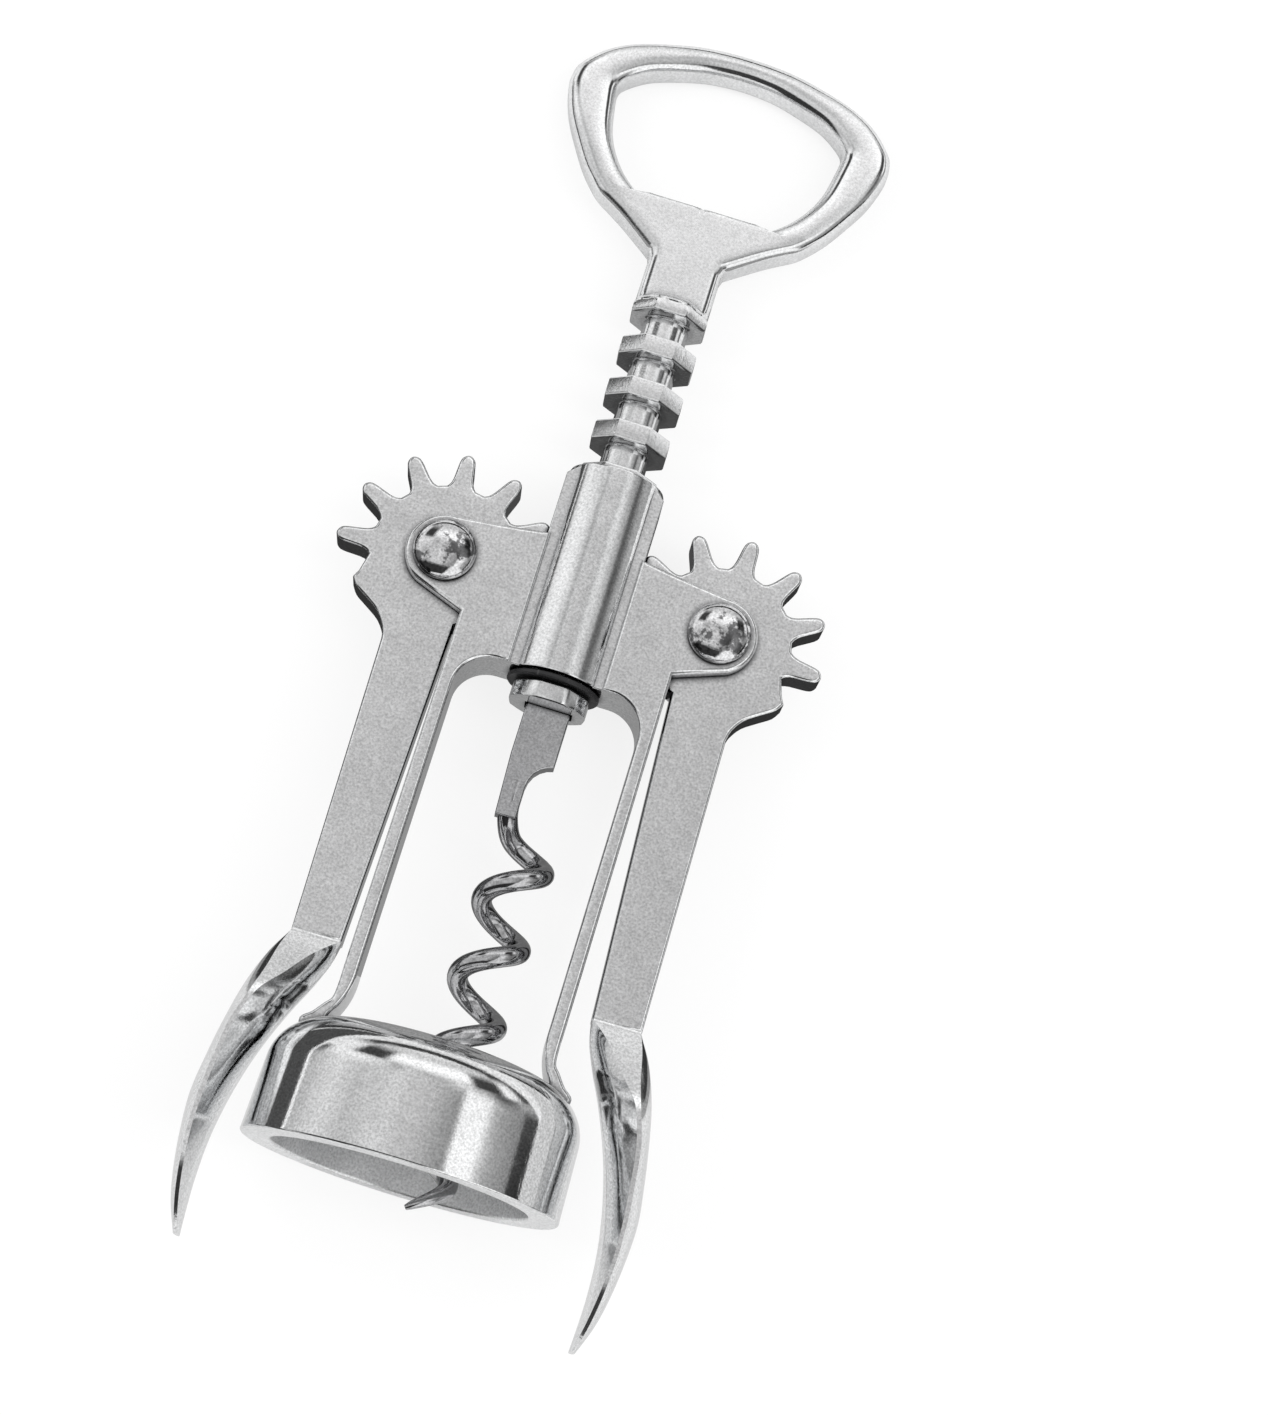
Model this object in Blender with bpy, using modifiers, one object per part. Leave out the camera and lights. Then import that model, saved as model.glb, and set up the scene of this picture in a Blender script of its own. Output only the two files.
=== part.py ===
"""A double-lever corkscrew, lying on its back with its front up.

The pieces are drawn in the tool's own frame: X to the right, Z along the tool from the rim of
the bell to the handle, and -Y out of its front. One empty holds them all and lays the tool down,
so that in the world +Z is up and the handle points towards +Y. Lengths are in metres and angles
in degrees. A rise is measured upwards from the piece below, and a drop downwards from the collar.
"""

import math

import bmesh
import bpy
from mathutils import Matrix, Vector

# The bell
BELL_RADIUS = 0.0215
BELL_SIDE_RADIUS = 0.0212
BELL_SIDE_HEIGHT = 0.0100
BELL_HEIGHT = 0.0170
BELL_WALL = 0.0042
CROWN_WALL = 0.0020
CROWN_FLAT_RADIUS = 0.0140
CROWN_HOLE_RADIUS = 0.0120
RIM_FLAT = 0.0039
RIM_CHAMFER_HEIGHT = 0.0005
BELL_STEPS = 64
SHOULDER_STEPS = 6

# The yoke: two rails, the arch over them, and the two ears that hold the levers
YOKE_HALF_DEPTH = 0.0046
RAIL_OUTER = 0.0150
RAIL_INNER = 0.0130
FOOT_SPREAD = 0.0034
ARCH_HEIGHT = 0.0698
ARCH_CORNER = 0.0050
ARCH_CORNER_STEPS = 6
EAR_RISE = 0.0050
EAR_RADIUS = 0.0054
EAR_TOP_RISE = 0.0195
EAR_ARC_START = -62.0
EAR_ARC_END = 92.0
EAR_STEPS = 14
CASTING_EDGE = 0.0003

# The barrel that guides the rack
BARREL_RADIUS = 0.0068
BARREL_BORE = 0.00605
BARREL_LENGTH = 0.0305
BARREL_STEPS = 48
SLAB_HALF_WIDTH = 0.00695
SLAB_HALF_DEPTH = 0.0042
SLAB_CORNER = 0.0018

# The levers
PIVOT_OFFSET = 0.0195
PIVOT_RISE = 0.0124
LEVER_THICKNESS = 0.0050
GEAR_TIP_RADIUS = 0.0151
GEAR_ROOT_RADIUS = 0.0101
TOOTH_COUNT_IN_A_TURN = 12
TOOTH_PHASE = 4.0
FIRST_TOOTH = 0
LAST_TOOTH = 6
RIGHT_LEAN = 0.8
LEFT_LEAN = -0.8
WING_START_HEIGHT = 0.0270
ARM_WIDTH = 0.0068
ARM_OUTER_AT_END = 0.0045
ARM_OUTER_AT_GEAR = 0.00485
ARM_INNER_AT_GEAR = 0.00405
ARM_FLARE_SHARE = 0.333
GEAR_BACK_STEPS = 6
WING_LENGTH = 0.0417
WING_SWEEP = 0.0130
WING_HALF_BREADTH = 0.0080

# The rack, its collar and the ring handle above it
RACK_PITCH = 0.0067
RACK_HALF_WIDTH = 0.0054
RACK_CORE_HALF_WIDTH = 0.0032
DISC_HEIGHT = 0.00295
DISC_EDGE = 0.0004
DISC_COUNT = 8
DISCS_BELOW_PIVOT = 2
RACK_SIDES = 8
COLLAR_HEIGHT = 0.0026
HEAD_HEIGHT = 0.0032
HEAD_GROOVE = 0.00385
HEAD_DOME = 0.0030
NECK_HALF_WIDTH = 0.0053
NECK_LENGTH = 0.00963
HANDLE_HALF_THICKNESS = 0.0030
HANDLE_EDGE = 0.0010
HANDLE_HEIGHT = 0.0344
HANDLE_HALF_WIDTH = 0.0240
HOLE_RISE = 0.0077
HOLE_HEIGHT = 0.0226
HOLE_HALF_WIDTH = 0.0169
OPENER_LIP = 0.0010
CURVE_STEPS = 3

# The worm and its flat tang
WIRE_RADIUS = 0.0014
WORM_RADIUS = 0.0035
WORM_OFFSET = 0.00285
WORM_PITCH = 0.01083
WORM_DROP = 0.0220
WORM_TURNS = 4.29
WORM_STRETCH_START = 2.4
WORM_TAPER_TURNS = 0.33
WORM_TIP_SHARE = 0.16
POINTS_PER_TURN = 12
TANG_HALF_THICKNESS = 0.0013
TANG_LEFT = 0.0028
TANG_RIGHT = 0.0034
TANG_STEP_DROP = 0.0073
TANG_NECK_LEFT = 0.0024
TANG_NECK_RIGHT = 0.00045
TANG_END_DROP = 0.0160
TANG_DEPTH = 0.0018
TANG_EDGE = 0.0002

# The rivets and the stop washer
RIVET_SHANK_RADIUS = 0.0020
RIVET_HEAD_RADIUS = 0.00435
RIVET_HEAD_HEIGHT = 0.0024
RIVET_STEPS = 32
DOME_STEPS = 5
WASHER_RADIUS = 0.0065
WASHER_THICKNESS = 0.0007

# Clearances
RUNNING_GAP = 0.0003
SEAT_GAP = 0.00025
GEAR_SLOT_GAP = 0.0005
OVERRUN = 0.0020
FUSE = 0.0001

# Shares of the foot's spread: (out from the rail's face, up from the bell's crown), from the foot up
FOOT_OUTSIDE_SHARES = (
    (0.85, -0.956), (1.0, -0.368), (0.62, 0.0), (0.28, 0.45), (0.06, 0.729), (0.0, 1.229),
)
# Shares of the foot's spread, as before, from the rail down to the foot's inner end
FOOT_INSIDE_SHARES = ((0.0, 1.629), (0.10, 1.029), (0.33, 0.429), (0.58, 0.0), (0.65, -0.735))
# Shares of the tip radius: (across, up) of the stub below the last tooth
STUB_SHARES = (
    (0.345, -0.80), (0.43, -0.675), (0.57, -0.575), (0.68, -0.50), (0.735, -0.42), (0.70, -0.35),
)
# Shares: (share of the way from root to tip, share of half a tooth's base) along one flank of a tooth
TOOTH_SHARES = ((0.0, 1.0), (0.30, 0.66), (0.68, 0.56), (0.90, 0.40), (1.0, 0.16))
TOOTH_BASE_SHARE = 0.205
# Shares: (along the wing, inner keel, inner edge, outer edge, outer keel across the sweep, half breadth)
WING_SHARES = (
    (0.00, 0.000, 0.015, 0.515, 0.523, 0.300),
    (0.07, 0.046, 0.238, 0.577, 0.660, 0.510),
    (0.155, 0.154, 0.430, 0.623, 0.770, 0.750),
    (0.24, 0.285, 0.630, 0.690, 0.845, 0.950),
    (0.35, 0.430, 0.740, 0.790, 0.910, 1.000),
    (0.455, 0.540, 0.785, 0.830, 0.960, 1.000),
    (0.575, 0.630, 0.815, 0.860, 1.000, 1.000),
    (0.695, 0.685, 0.823, 0.862, 0.977, 0.970),
    (0.815, 0.700, 0.790, 0.830, 0.923, 0.860),
    (0.91, 0.690, 0.746, 0.785, 0.850, 0.640),
    (1.00, 0.670, 0.690, 0.715, 0.735, 0.300),
)
WING_RING_SHARES = (0.35, 0.70)
WING_KEEL_SHARES = (0.12, 0.48)
WING_STEPS = 2
# Shares: (share of the half width, share of the height above the neck) round the outside of the handle
HANDLE_SHARES = (
    (0.235, 0.015), (0.45, 0.122), (0.633, 0.20), (0.775, 0.311), (0.862, 0.41), (0.942, 0.512),
    (0.993, 0.615), (0.998, 0.69), (0.965, 0.755), (0.84, 0.85), (0.66, 0.916), (0.38, 0.974),
    (0.13, 0.998),
)
# Shares: (share of the half width, share of the height) round the hole, upwards from the opener
HOLE_SHARES = (
    (0.71, 0.12), (0.85, 0.26), (0.925, 0.38), (0.98, 0.57), (1.0, 0.70), (0.93, 0.785),
    (0.78, 0.868), (0.545, 0.938), (0.25, 0.985),
)
LIP_CORNER_SHARE = 0.527
LIP_FLAT_SHARE = 0.39
# Shares of the tang's right side: (across, down from its step) of the notch beside the wire
NOTCH_SHARES = ((0.132, 1.0), (0.265, 0.70), (0.40, 0.40), (0.65, 0.20), (1.0, 0.10))
# Shares of the worm's radius, radius and pitch: how the wire leaves the tang (across, back, up)
LEAD_SHARES = (
    (-1.09, 0.0, 1.02), (-1.09, 0.0, 0.79), (-0.99, 0.17, 0.575), (-0.70, 0.66, 0.39),
    (-0.26, 0.95, 0.29),
)
HELIX_FIRST_TURN_SHARE = -0.17
# Shares of a turn by which the last turns close up and the point stretches, and where they are even
WORM_STRETCH_SHARE = 0.80
WORM_EVEN_SHARE = 0.88

QUARTER_TURN = 90.0

# Worked out from the sizes above
EAR_UNDERSIDE = ARCH_HEIGHT + EAR_RISE
EAR_TOP = ARCH_HEIGHT + EAR_TOP_RISE
BARREL_TOP = ARCH_HEIGHT + BARREL_LENGTH
PIVOT_HEIGHT = ARCH_HEIGHT + PIVOT_RISE
TOOTH_STEP = 360.0 / TOOTH_COUNT_IN_A_TURN
PITCH_RADIUS = TOOTH_COUNT_IN_A_TURN * RACK_PITCH / (2 * math.pi)
GROOVE_CENTRE = PIVOT_HEIGHT + PITCH_RADIUS * math.radians(TOOTH_PHASE)
GROOVE_HEIGHT = RACK_PITCH - DISC_HEIGHT
LOWEST_DISC = GROOVE_CENTRE + GROOVE_HEIGHT / 2 - DISCS_BELOW_PIVOT * RACK_PITCH
DISC_END = LOWEST_DISC + (DISC_COUNT - 1) * RACK_PITCH + DISC_HEIGHT
HEAD_BOTTOM = DISC_END + HEAD_GROOVE
NECK_TOP = HEAD_BOTTOM + NECK_LENGTH
HANDLE_TOP = NECK_TOP + HANDLE_HEIGHT
HOLE_BOTTOM = NECK_TOP + HOLE_RISE
COLLAR_TOP = ARCH_HEIGHT - WASHER_THICKNESS - 2 * SEAT_GAP
COLLAR_BOTTOM = COLLAR_TOP - COLLAR_HEIGHT
WORM_START = COLLAR_BOTTOM - WORM_DROP
TANG_STEP = COLLAR_BOTTOM - TANG_STEP_DROP
TANG_END = COLLAR_BOTTOM - TANG_END_DROP
SLOT_HALF_DEPTH = LEVER_THICKNESS / 2 + RUNNING_GAP
SLOT_RADIUS = GEAR_TIP_RADIUS + GEAR_SLOT_GAP
SHANK_HOLE_RADIUS = RIVET_SHANK_RADIUS + RUNNING_GAP
ARM_INNER_AT_END = ARM_WIDTH - ARM_OUTER_AT_END
ARM_LENGTH = PIVOT_HEIGHT - WING_START_HEIGHT
LYING_ANGLE = math.degrees(
    math.atan2(
        BELL_SIDE_RADIUS - HANDLE_HALF_THICKNESS,
        HANDLE_TOP - BELL_SIDE_HEIGHT,
    )
)


def clear_scene():
    for obj in list(bpy.data.objects):
        bpy.data.objects.remove(obj, do_unlink=True)


def new_collection(name):
    collection = bpy.data.collections.new(name)
    bpy.context.scene.collection.children.link(collection)
    return collection


def metal(name, colour, roughness, metallic):
    material = bpy.data.materials.new(name)
    material.use_nodes = True
    shader = material.node_tree.nodes["Principled BSDF"]
    shader.inputs["Base Color"].default_value = (*colour, 1.0)
    shader.inputs["Roughness"].default_value = roughness
    shader.inputs["Metallic"].default_value = metallic
    material.diffuse_color = (*colour, 1.0)
    return material


def add_object(name, mesh, collection):
    obj = bpy.data.objects.new(name, mesh)
    collection.objects.link(obj)
    return obj


def mirrored(points):
    """The same points on the other side of the middle, in the opposite order."""
    return [(-x, z) for x, z in reversed(points)]


def symmetric(points):
    """A closed outline from its right half, listed anticlockwise from the bottom to the top."""
    return points + mirrored(points)


def smooth_points(points, steps):
    """Points on a smooth open curve through the given ones."""
    count = len(points)
    found = []
    for i in range(count - 1):
        a, b, c, d = (Vector(points[min(max(i + k, 0), count - 1)]) for k in (-1, 0, 1, 2))
        for step in range(steps):
            t = step / steps
            bend = (2 * a - 5 * b + 4 * c - d) * t**2 + (3 * b - a - 3 * c + d) * t**3
            found.append(tuple((2 * b + (c - a) * t + bend) / 2))
    found.append(tuple(points[-1]))
    return found


def arc_points(centre, radius, start, end, steps):
    """Points on an arc, angles in degrees, anticlockwise from +X when the end is larger."""
    found = []
    for i in range(steps + 1):
        angle = math.radians(start + (end - start) * i / steps)
        found.append((centre[0] + radius * math.cos(angle), centre[1] + radius * math.sin(angle)))
    return found


def plate(name, outlines, half_thickness, edge, collection):
    """A flat piece standing in the XZ plane, from outlines in (x, z), with rounded edges."""
    curve = bpy.data.curves.new(name, "CURVE")
    curve.dimensions = "2D"
    curve.fill_mode = "BOTH"
    curve.extrude = half_thickness - edge
    curve.bevel_depth = edge
    curve.bevel_resolution = 1
    curve.offset = -edge
    for outline in outlines:
        spline = curve.splines.new("POLY")
        spline.points.add(len(outline) - 1)
        for point, (x, z) in zip(spline.points, outline):
            point.co = (x, z, 0.0, 1.0)
        spline.use_cyclic_u = True
    obj = add_object(name, curve, collection)
    obj.rotation_euler.x = math.pi / 2
    return solid_from_curve(obj, collection)


def solid_from_curve(obj, collection):
    """The curve's evaluated shape as one closed mesh, in the curve's place and turn."""
    name = obj.name
    bpy.context.view_layer.update()
    evaluated = obj.evaluated_get(bpy.context.evaluated_depsgraph_get())
    mesh = bpy.data.meshes.new_from_object(evaluated)
    mesh.transform(obj.matrix_world)
    shape = bmesh.new()
    shape.from_mesh(mesh)
    bmesh.ops.remove_doubles(shape, verts=shape.verts, dist=FUSE / 20)
    bmesh.ops.recalc_face_normals(shape, faces=shape.faces)
    shape.to_mesh(mesh)
    shape.free()
    bpy.data.objects.remove(obj, do_unlink=True)
    mesh.name = name
    return add_object(name, mesh, collection)


def turned(name, profile, steps, collection, closed=False):
    """A turned piece about Z from its profile in (radius, z), from top to bottom down the outside."""
    mesh = bpy.data.meshes.new(name)
    shape = bmesh.new()
    corners = [shape.verts.new((radius, 0.0, z)) for radius, z in profile]
    for a, b in zip(corners, corners[1:]):
        shape.edges.new((a, b))
    if closed:
        shape.edges.new((corners[-1], corners[0]))
    shape.to_mesh(mesh)
    shape.free()
    obj = add_object(name, mesh, collection)
    screw = obj.modifiers.new("turn", "SCREW")
    screw.axis = "Z"
    screw.steps = steps
    screw.render_steps = steps
    screw.use_merge_vertices = True
    screw.merge_threshold = FUSE / 20
    return obj


def rod(name, radius, low, high, collection, steps=48):
    """A cylinder along Z between two heights."""
    mesh = bpy.data.meshes.new(name)
    shape = bmesh.new()
    bmesh.ops.create_cone(
        shape, cap_ends=True, segments=steps, radius1=radius, radius2=radius, depth=high - low
    )
    bmesh.ops.translate(shape, vec=(0.0, 0.0, (low + high) / 2), verts=shape.verts)
    shape.to_mesh(mesh)
    shape.free()
    return add_object(name, mesh, collection)


def cross_rod(name, radius, centre, half_length, collection, steps=48):
    """A cylinder along Y round a place in (x, z)."""
    obj = rod(name, radius, -half_length, half_length, collection, steps)
    obj.rotation_euler.x = math.pi / 2
    obj.location = (centre[0], 0.0, centre[1])
    return obj


def block(name, low, high, collection):
    """A box between two corners."""
    mesh = bpy.data.meshes.new(name)
    shape = bmesh.new()
    bmesh.ops.create_cube(shape, size=1.0)
    size = Vector(high) - Vector(low)
    middle = (Vector(high) + Vector(low)) / 2
    for corner in shape.verts:
        corner.co = Vector(a * b for a, b in zip(corner.co, size)) + middle
    shape.to_mesh(mesh)
    shape.free()
    return add_object(name, mesh, collection)


def combine(obj, other, operation):
    boolean = obj.modifiers.new(operation.lower() + " " + other.name, "BOOLEAN")
    boolean.operation = operation
    boolean.object = other
    other.hide_render = True
    other.display_type = "WIRE"


def bake(obj):
    """Turns the object's modifiers into its mesh."""
    bpy.context.view_layer.update()
    evaluated = obj.evaluated_get(bpy.context.evaluated_depsgraph_get())
    mesh = bpy.data.meshes.new_from_object(evaluated)
    obj.modifiers.clear()
    obj.data = mesh
    mesh.name = obj.name
    return mesh


def finish(obj, material, angle=35.0):
    """Bakes the piece, gives it its material and shades it smooth between its sharp edges."""
    mesh = bake(obj)
    mesh.materials.clear()
    mesh.materials.append(material)
    mesh.shade_smooth()
    mesh.set_sharp_from_angle(angle=math.radians(angle))


def bell_profile(side_wall, crown_wall):
    """The bell's shoulder and side, from the crown down, drawn in by the thickness of its walls."""
    points = []
    across = BELL_SIDE_RADIUS - CROWN_FLAT_RADIUS - side_wall
    up = BELL_HEIGHT - BELL_SIDE_HEIGHT - crown_wall
    for i in range(SHOULDER_STEPS + 1):
        angle = math.pi / 2 * i / SHOULDER_STEPS
        radius = CROWN_FLAT_RADIUS + across * math.sin(angle)
        points.append((radius, BELL_SIDE_HEIGHT + up * math.cos(angle)))
    return points


def add_bell(collection):
    outer = bell_profile(0.0, 0.0)
    inner = bell_profile(BELL_WALL, CROWN_WALL)
    profile = [(CROWN_HOLE_RADIUS, BELL_HEIGHT)] + outer + [(BELL_RADIUS, 0.0)]
    profile += [(BELL_RADIUS - RIM_FLAT, 0.0), (BELL_RADIUS - BELL_WALL, RIM_CHAMFER_HEIGHT)]
    profile += list(reversed(inner)) + [(CROWN_HOLE_RADIUS, BELL_HEIGHT - CROWN_WALL)]
    return turned("bell", profile, BELL_STEPS, collection, closed=True)


def foot_points(face, shares):
    """One side of a rail's foot in (x, z), from the place of the rail's face and its shares."""
    return [(face + FOOT_SPREAD * out, BELL_HEIGHT + FOOT_SPREAD * up) for out, up in shares]


def yoke_half():
    """The right rail, arch and ear in (x, z), anticlockwise from the foot's outer end."""
    join = SLAB_HALF_WIDTH - FUSE
    outside = foot_points(RAIL_OUTER, FOOT_OUTSIDE_SHARES) + [(RAIL_OUTER, EAR_UNDERSIDE)]
    pivot = (PIVOT_OFFSET, PIVOT_HEIGHT)
    ear = arc_points(pivot, EAR_RADIUS, EAR_ARC_START, EAR_ARC_END, EAR_STEPS)
    inner_end = [(join, EAR_TOP), (join, ARCH_HEIGHT)]
    corner = (RAIL_INNER - ARCH_CORNER, ARCH_HEIGHT - ARCH_CORNER)
    arch = arc_points(corner, ARCH_CORNER, QUARTER_TURN, 0.0, ARCH_CORNER_STEPS)
    return outside + ear + inner_end + arch + foot_points(RAIL_INNER, FOOT_INSIDE_SHARES)


def add_frame(parts, cutters):
    body = add_bell(parts)
    body.name = "frame_body"
    half = yoke_half()
    right = plate("right yoke", [half], YOKE_HALF_DEPTH, CASTING_EDGE, cutters)
    left = plate("left yoke", [mirrored(half)], YOKE_HALF_DEPTH, CASTING_EDGE, cutters)
    shoulder = SLAB_HALF_WIDTH - SLAB_CORNER
    slab_outline = [
        (SLAB_HALF_WIDTH, ARCH_HEIGHT),
        (SLAB_HALF_WIDTH, BARREL_TOP - SLAB_CORNER),
        (shoulder, BARREL_TOP),
    ]
    slab = plate("slab", [symmetric(slab_outline)], SLAB_HALF_DEPTH, CASTING_EDGE / 2, cutters)
    barrel = rod("barrel", BARREL_RADIUS, ARCH_HEIGHT, BARREL_TOP, cutters, BARREL_STEPS)
    for piece in (right, left, slab, barrel):
        combine(body, piece, "UNION")
    low = ARCH_HEIGHT - OVERRUN
    high = BARREL_TOP + OVERRUN
    bore = rod("bore", BARREL_BORE, low, high, cutters, BARREL_STEPS)
    combine(body, bore, "DIFFERENCE")
    for side, sign in (("right", 1), ("left", -1)):
        place = (sign * PIVOT_OFFSET, PIVOT_HEIGHT)
        slot = cross_rod(side + " slot", SLOT_RADIUS, place, SLOT_HALF_DEPTH, cutters, BARREL_STEPS)
        combine(body, slot, "DIFFERENCE")
        through = YOKE_HALF_DEPTH + OVERRUN
        hole = cross_rod(side + " hole", SHANK_HOLE_RADIUS, place, through, cutters, RIVET_STEPS)
        combine(body, hole, "DIFFERENCE")
    return body


def tooth(direction):
    """One tooth of the gear pointing in a direction, in (x, z) about the pivot, anticlockwise."""
    base = TOOTH_BASE_SHARE * GEAR_ROOT_RADIUS
    depth = GEAR_TIP_RADIUS - GEAR_ROOT_RADIUS
    flank = [(GEAR_ROOT_RADIUS + depth * out, base * wide) for out, wide in TOOTH_SHARES]
    outline = [(radius, -wide) for radius, wide in flank]
    outline += [(radius, wide) for radius, wide in reversed(flank)]
    angle = math.radians(direction)
    return [
        (x * math.cos(angle) - z * math.sin(angle), x * math.sin(angle) + z * math.cos(angle))
        for x, z in outline
    ]


def lever_outline(lean):
    """The gear and arm of the right lever about its pivot, anticlockwise from the arm's outer end."""
    points = [(ARM_OUTER_AT_END, -ARM_LENGTH)]
    points += [(x * GEAR_TIP_RADIUS, z * GEAR_TIP_RADIUS) for x, z in STUB_SHARES]
    flare = points[1][1] - ARM_OUTER_AT_GEAR * ARM_FLARE_SHARE
    points.insert(1, (ARM_OUTER_AT_GEAR, flare))
    rack_side = 180.0 - TOOTH_PHASE - lean
    for i in reversed(range(FIRST_TOOTH, LAST_TOOTH + 1)):
        points += tooth(rack_side - i * TOOTH_STEP)
    meet = math.degrees(math.asin(ARM_INNER_AT_GEAR / GEAR_ROOT_RADIUS))
    start = rack_side + TOOTH_STEP / 2
    end = 3 * QUARTER_TURN - meet
    points += arc_points((0.0, 0.0), GEAR_ROOT_RADIUS, start, end, GEAR_BACK_STEPS)
    points.append((-ARM_INNER_AT_END, -ARM_LENGTH))
    return points


def wing_ring(row):
    """One section of the right wing about the pivot: two keels, and an edge at front and back."""
    along, inner_keel, inner_edge, outer_edge, outer_keel, breadth = row
    left = -ARM_INNER_AT_END
    x_inner, x_in, x_out, x_outer = (
        left + share * WING_SWEEP for share in (inner_keel, inner_edge, outer_edge, outer_keel)
    )
    half = breadth * WING_HALF_BREADTH
    height = -ARM_LENGTH - along * WING_LENGTH
    front = [(x_inner, 0.0)]
    bow = list(zip(WING_RING_SHARES, WING_KEEL_SHARES))
    front += [(x_inner + (x_in - x_inner) * drop, -half * wide) for wide, drop in bow]
    front += [(x_in, -half), (x_out, -half)]
    front += [(x_outer + (x_out - x_outer) * drop, -half * wide) for wide, drop in reversed(bow)]
    front.append((x_outer, 0.0))
    back = [(x, -y) for x, y in reversed(front[1:-1])]
    return [(x, y, height) for x, y in front + back]


def add_wing(name, collection):
    """The wing is a loft through its sections, which change from the arm's oblong to a thin almond."""
    rows = smooth_points(WING_SHARES, WING_STEPS)
    rings = [wing_ring(row) for row in rows]
    root = [(x, y, z + OVERRUN) for x, y, z in rings[0]]
    rings.insert(0, root)
    shape = bmesh.new()
    made = [[shape.verts.new(point) for point in ring] for ring in rings]
    for upper, lower in zip(made, made[1:]):
        for i in range(len(upper)):
            k = (i + 1) % len(upper)
            shape.faces.new((upper[i], upper[k], lower[k], lower[i]))
    shape.faces.new(list(reversed(made[0])))
    shape.faces.new(made[-1])
    bmesh.ops.recalc_face_normals(shape, faces=shape.faces)
    mesh = bpy.data.meshes.new(name)
    shape.to_mesh(mesh)
    shape.free()
    return add_object(name, mesh, collection)


def add_lever(name, sign, lean, parts, cutters):
    body = plate(name, [lever_outline(lean)], LEVER_THICKNESS / 2, CASTING_EDGE, parts)
    wing = add_wing(name + " wing", cutters)
    combine(body, wing, "UNION")
    pivot = (0.0, 0.0)
    hole = cross_rod(name + " hole", SHANK_HOLE_RADIUS, pivot, LEVER_THICKNESS, cutters, RIVET_STEPS)
    combine(body, hole, "DIFFERENCE")
    mesh = bake(body)
    if sign < 0:
        shape = bmesh.new()
        shape.from_mesh(mesh)
        for corner in shape.verts:
            corner.co.x = -corner.co.x
        bmesh.ops.reverse_faces(shape, faces=shape.faces)
        shape.to_mesh(mesh)
        shape.free()
    body.location = (sign * PIVOT_OFFSET, 0.0, PIVOT_HEIGHT)
    body.rotation_euler.y = -sign * math.radians(lean)
    return body


def rack_profile():
    """The rack, its collar and its domed head, from the top down; the sides are flat, not round."""
    across = 1.0 / math.cos(math.pi / RACK_SIDES)
    wide = RACK_HALF_WIDTH * across
    core = RACK_CORE_HALF_WIDTH * across
    head_top = HEAD_BOTTOM + HEAD_HEIGHT
    points = [(0.0, head_top + HEAD_DOME)]
    for i in range(1, DOME_STEPS):
        angle = math.pi / 2 * i / DOME_STEPS
        points.append((wide * math.sin(angle), head_top + HEAD_DOME * math.cos(angle)))
    points += [(wide, head_top), (wide, HEAD_BOTTOM + DISC_EDGE)]
    points += [(wide - DISC_EDGE, HEAD_BOTTOM), (core, HEAD_BOTTOM)]
    for i in reversed(range(DISC_COUNT)):
        low = LOWEST_DISC + i * RACK_PITCH
        high = low + DISC_HEIGHT
        points += [(core, high), (wide - DISC_EDGE, high), (wide, high - DISC_EDGE)]
        points += [(wide, low + DISC_EDGE), (wide - DISC_EDGE, low), (core, low)]
    points += [(core, COLLAR_TOP), (wide - DISC_EDGE, COLLAR_TOP), (wide, COLLAR_TOP - DISC_EDGE)]
    points += [(wide, COLLAR_BOTTOM + DISC_EDGE), (wide - DISC_EDGE, COLLAR_BOTTOM)]
    points.append((0.0, COLLAR_BOTTOM))
    return points


def handle_outlines():
    """The ring with its neck, and the hole with the opener's lip, in (x, z)."""
    curve = [(HANDLE_HALF_WIDTH * x, NECK_TOP + HANDLE_HEIGHT * z) for x, z in HANDLE_SHARES]
    curve = smooth_points(curve, CURVE_STEPS)
    neck = [(NECK_HALF_WIDTH, HEAD_BOTTOM + HEAD_HEIGHT / 2), (NECK_HALF_WIDTH, NECK_TOP)]
    outside = symmetric(neck + curve)
    bow = [(LIP_CORNER_SHARE * HOLE_HALF_WIDTH, HOLE_BOTTOM)]
    bow += [(HOLE_HALF_WIDTH * x, HOLE_BOTTOM + HOLE_HEIGHT * z) for x, z in HOLE_SHARES]
    bow = smooth_points(bow, CURVE_STEPS)
    hole = symmetric([(LIP_FLAT_SHARE * HOLE_HALF_WIDTH, HOLE_BOTTOM + OPENER_LIP)] + bow)
    return outside, list(reversed(hole))


def add_handle(parts, cutters):
    body = turned("handle_rack", rack_profile(), RACK_SIDES, parts)
    mesh = bake(body)
    mesh.transform(Matrix.Rotation(math.pi / RACK_SIDES, 4, "Z"))
    ring = plate("ring", handle_outlines(), HANDLE_HALF_THICKNESS, HANDLE_EDGE, cutters)
    combine(body, ring, "UNION")
    socket = block(
        "socket",
        (-TANG_LEFT - SEAT_GAP, -TANG_HALF_THICKNESS - SEAT_GAP, COLLAR_BOTTOM - OVERRUN),
        (TANG_RIGHT + SEAT_GAP, TANG_HALF_THICKNESS + SEAT_GAP, COLLAR_BOTTOM + TANG_DEPTH + SEAT_GAP),
        cutters,
    )
    combine(body, socket, "DIFFERENCE")
    return body


def worm_fall(turn):
    """How far the wire has come down: the last turns close up a little, and then the point stretches."""
    run = max(0.0, (turn - WORM_STRETCH_START) / (WORM_TURNS - WORM_STRETCH_START))
    lift = WORM_STRETCH_SHARE * run * run * (WORM_EVEN_SHARE - run)
    return WORM_PITCH * (turn - lift)


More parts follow.
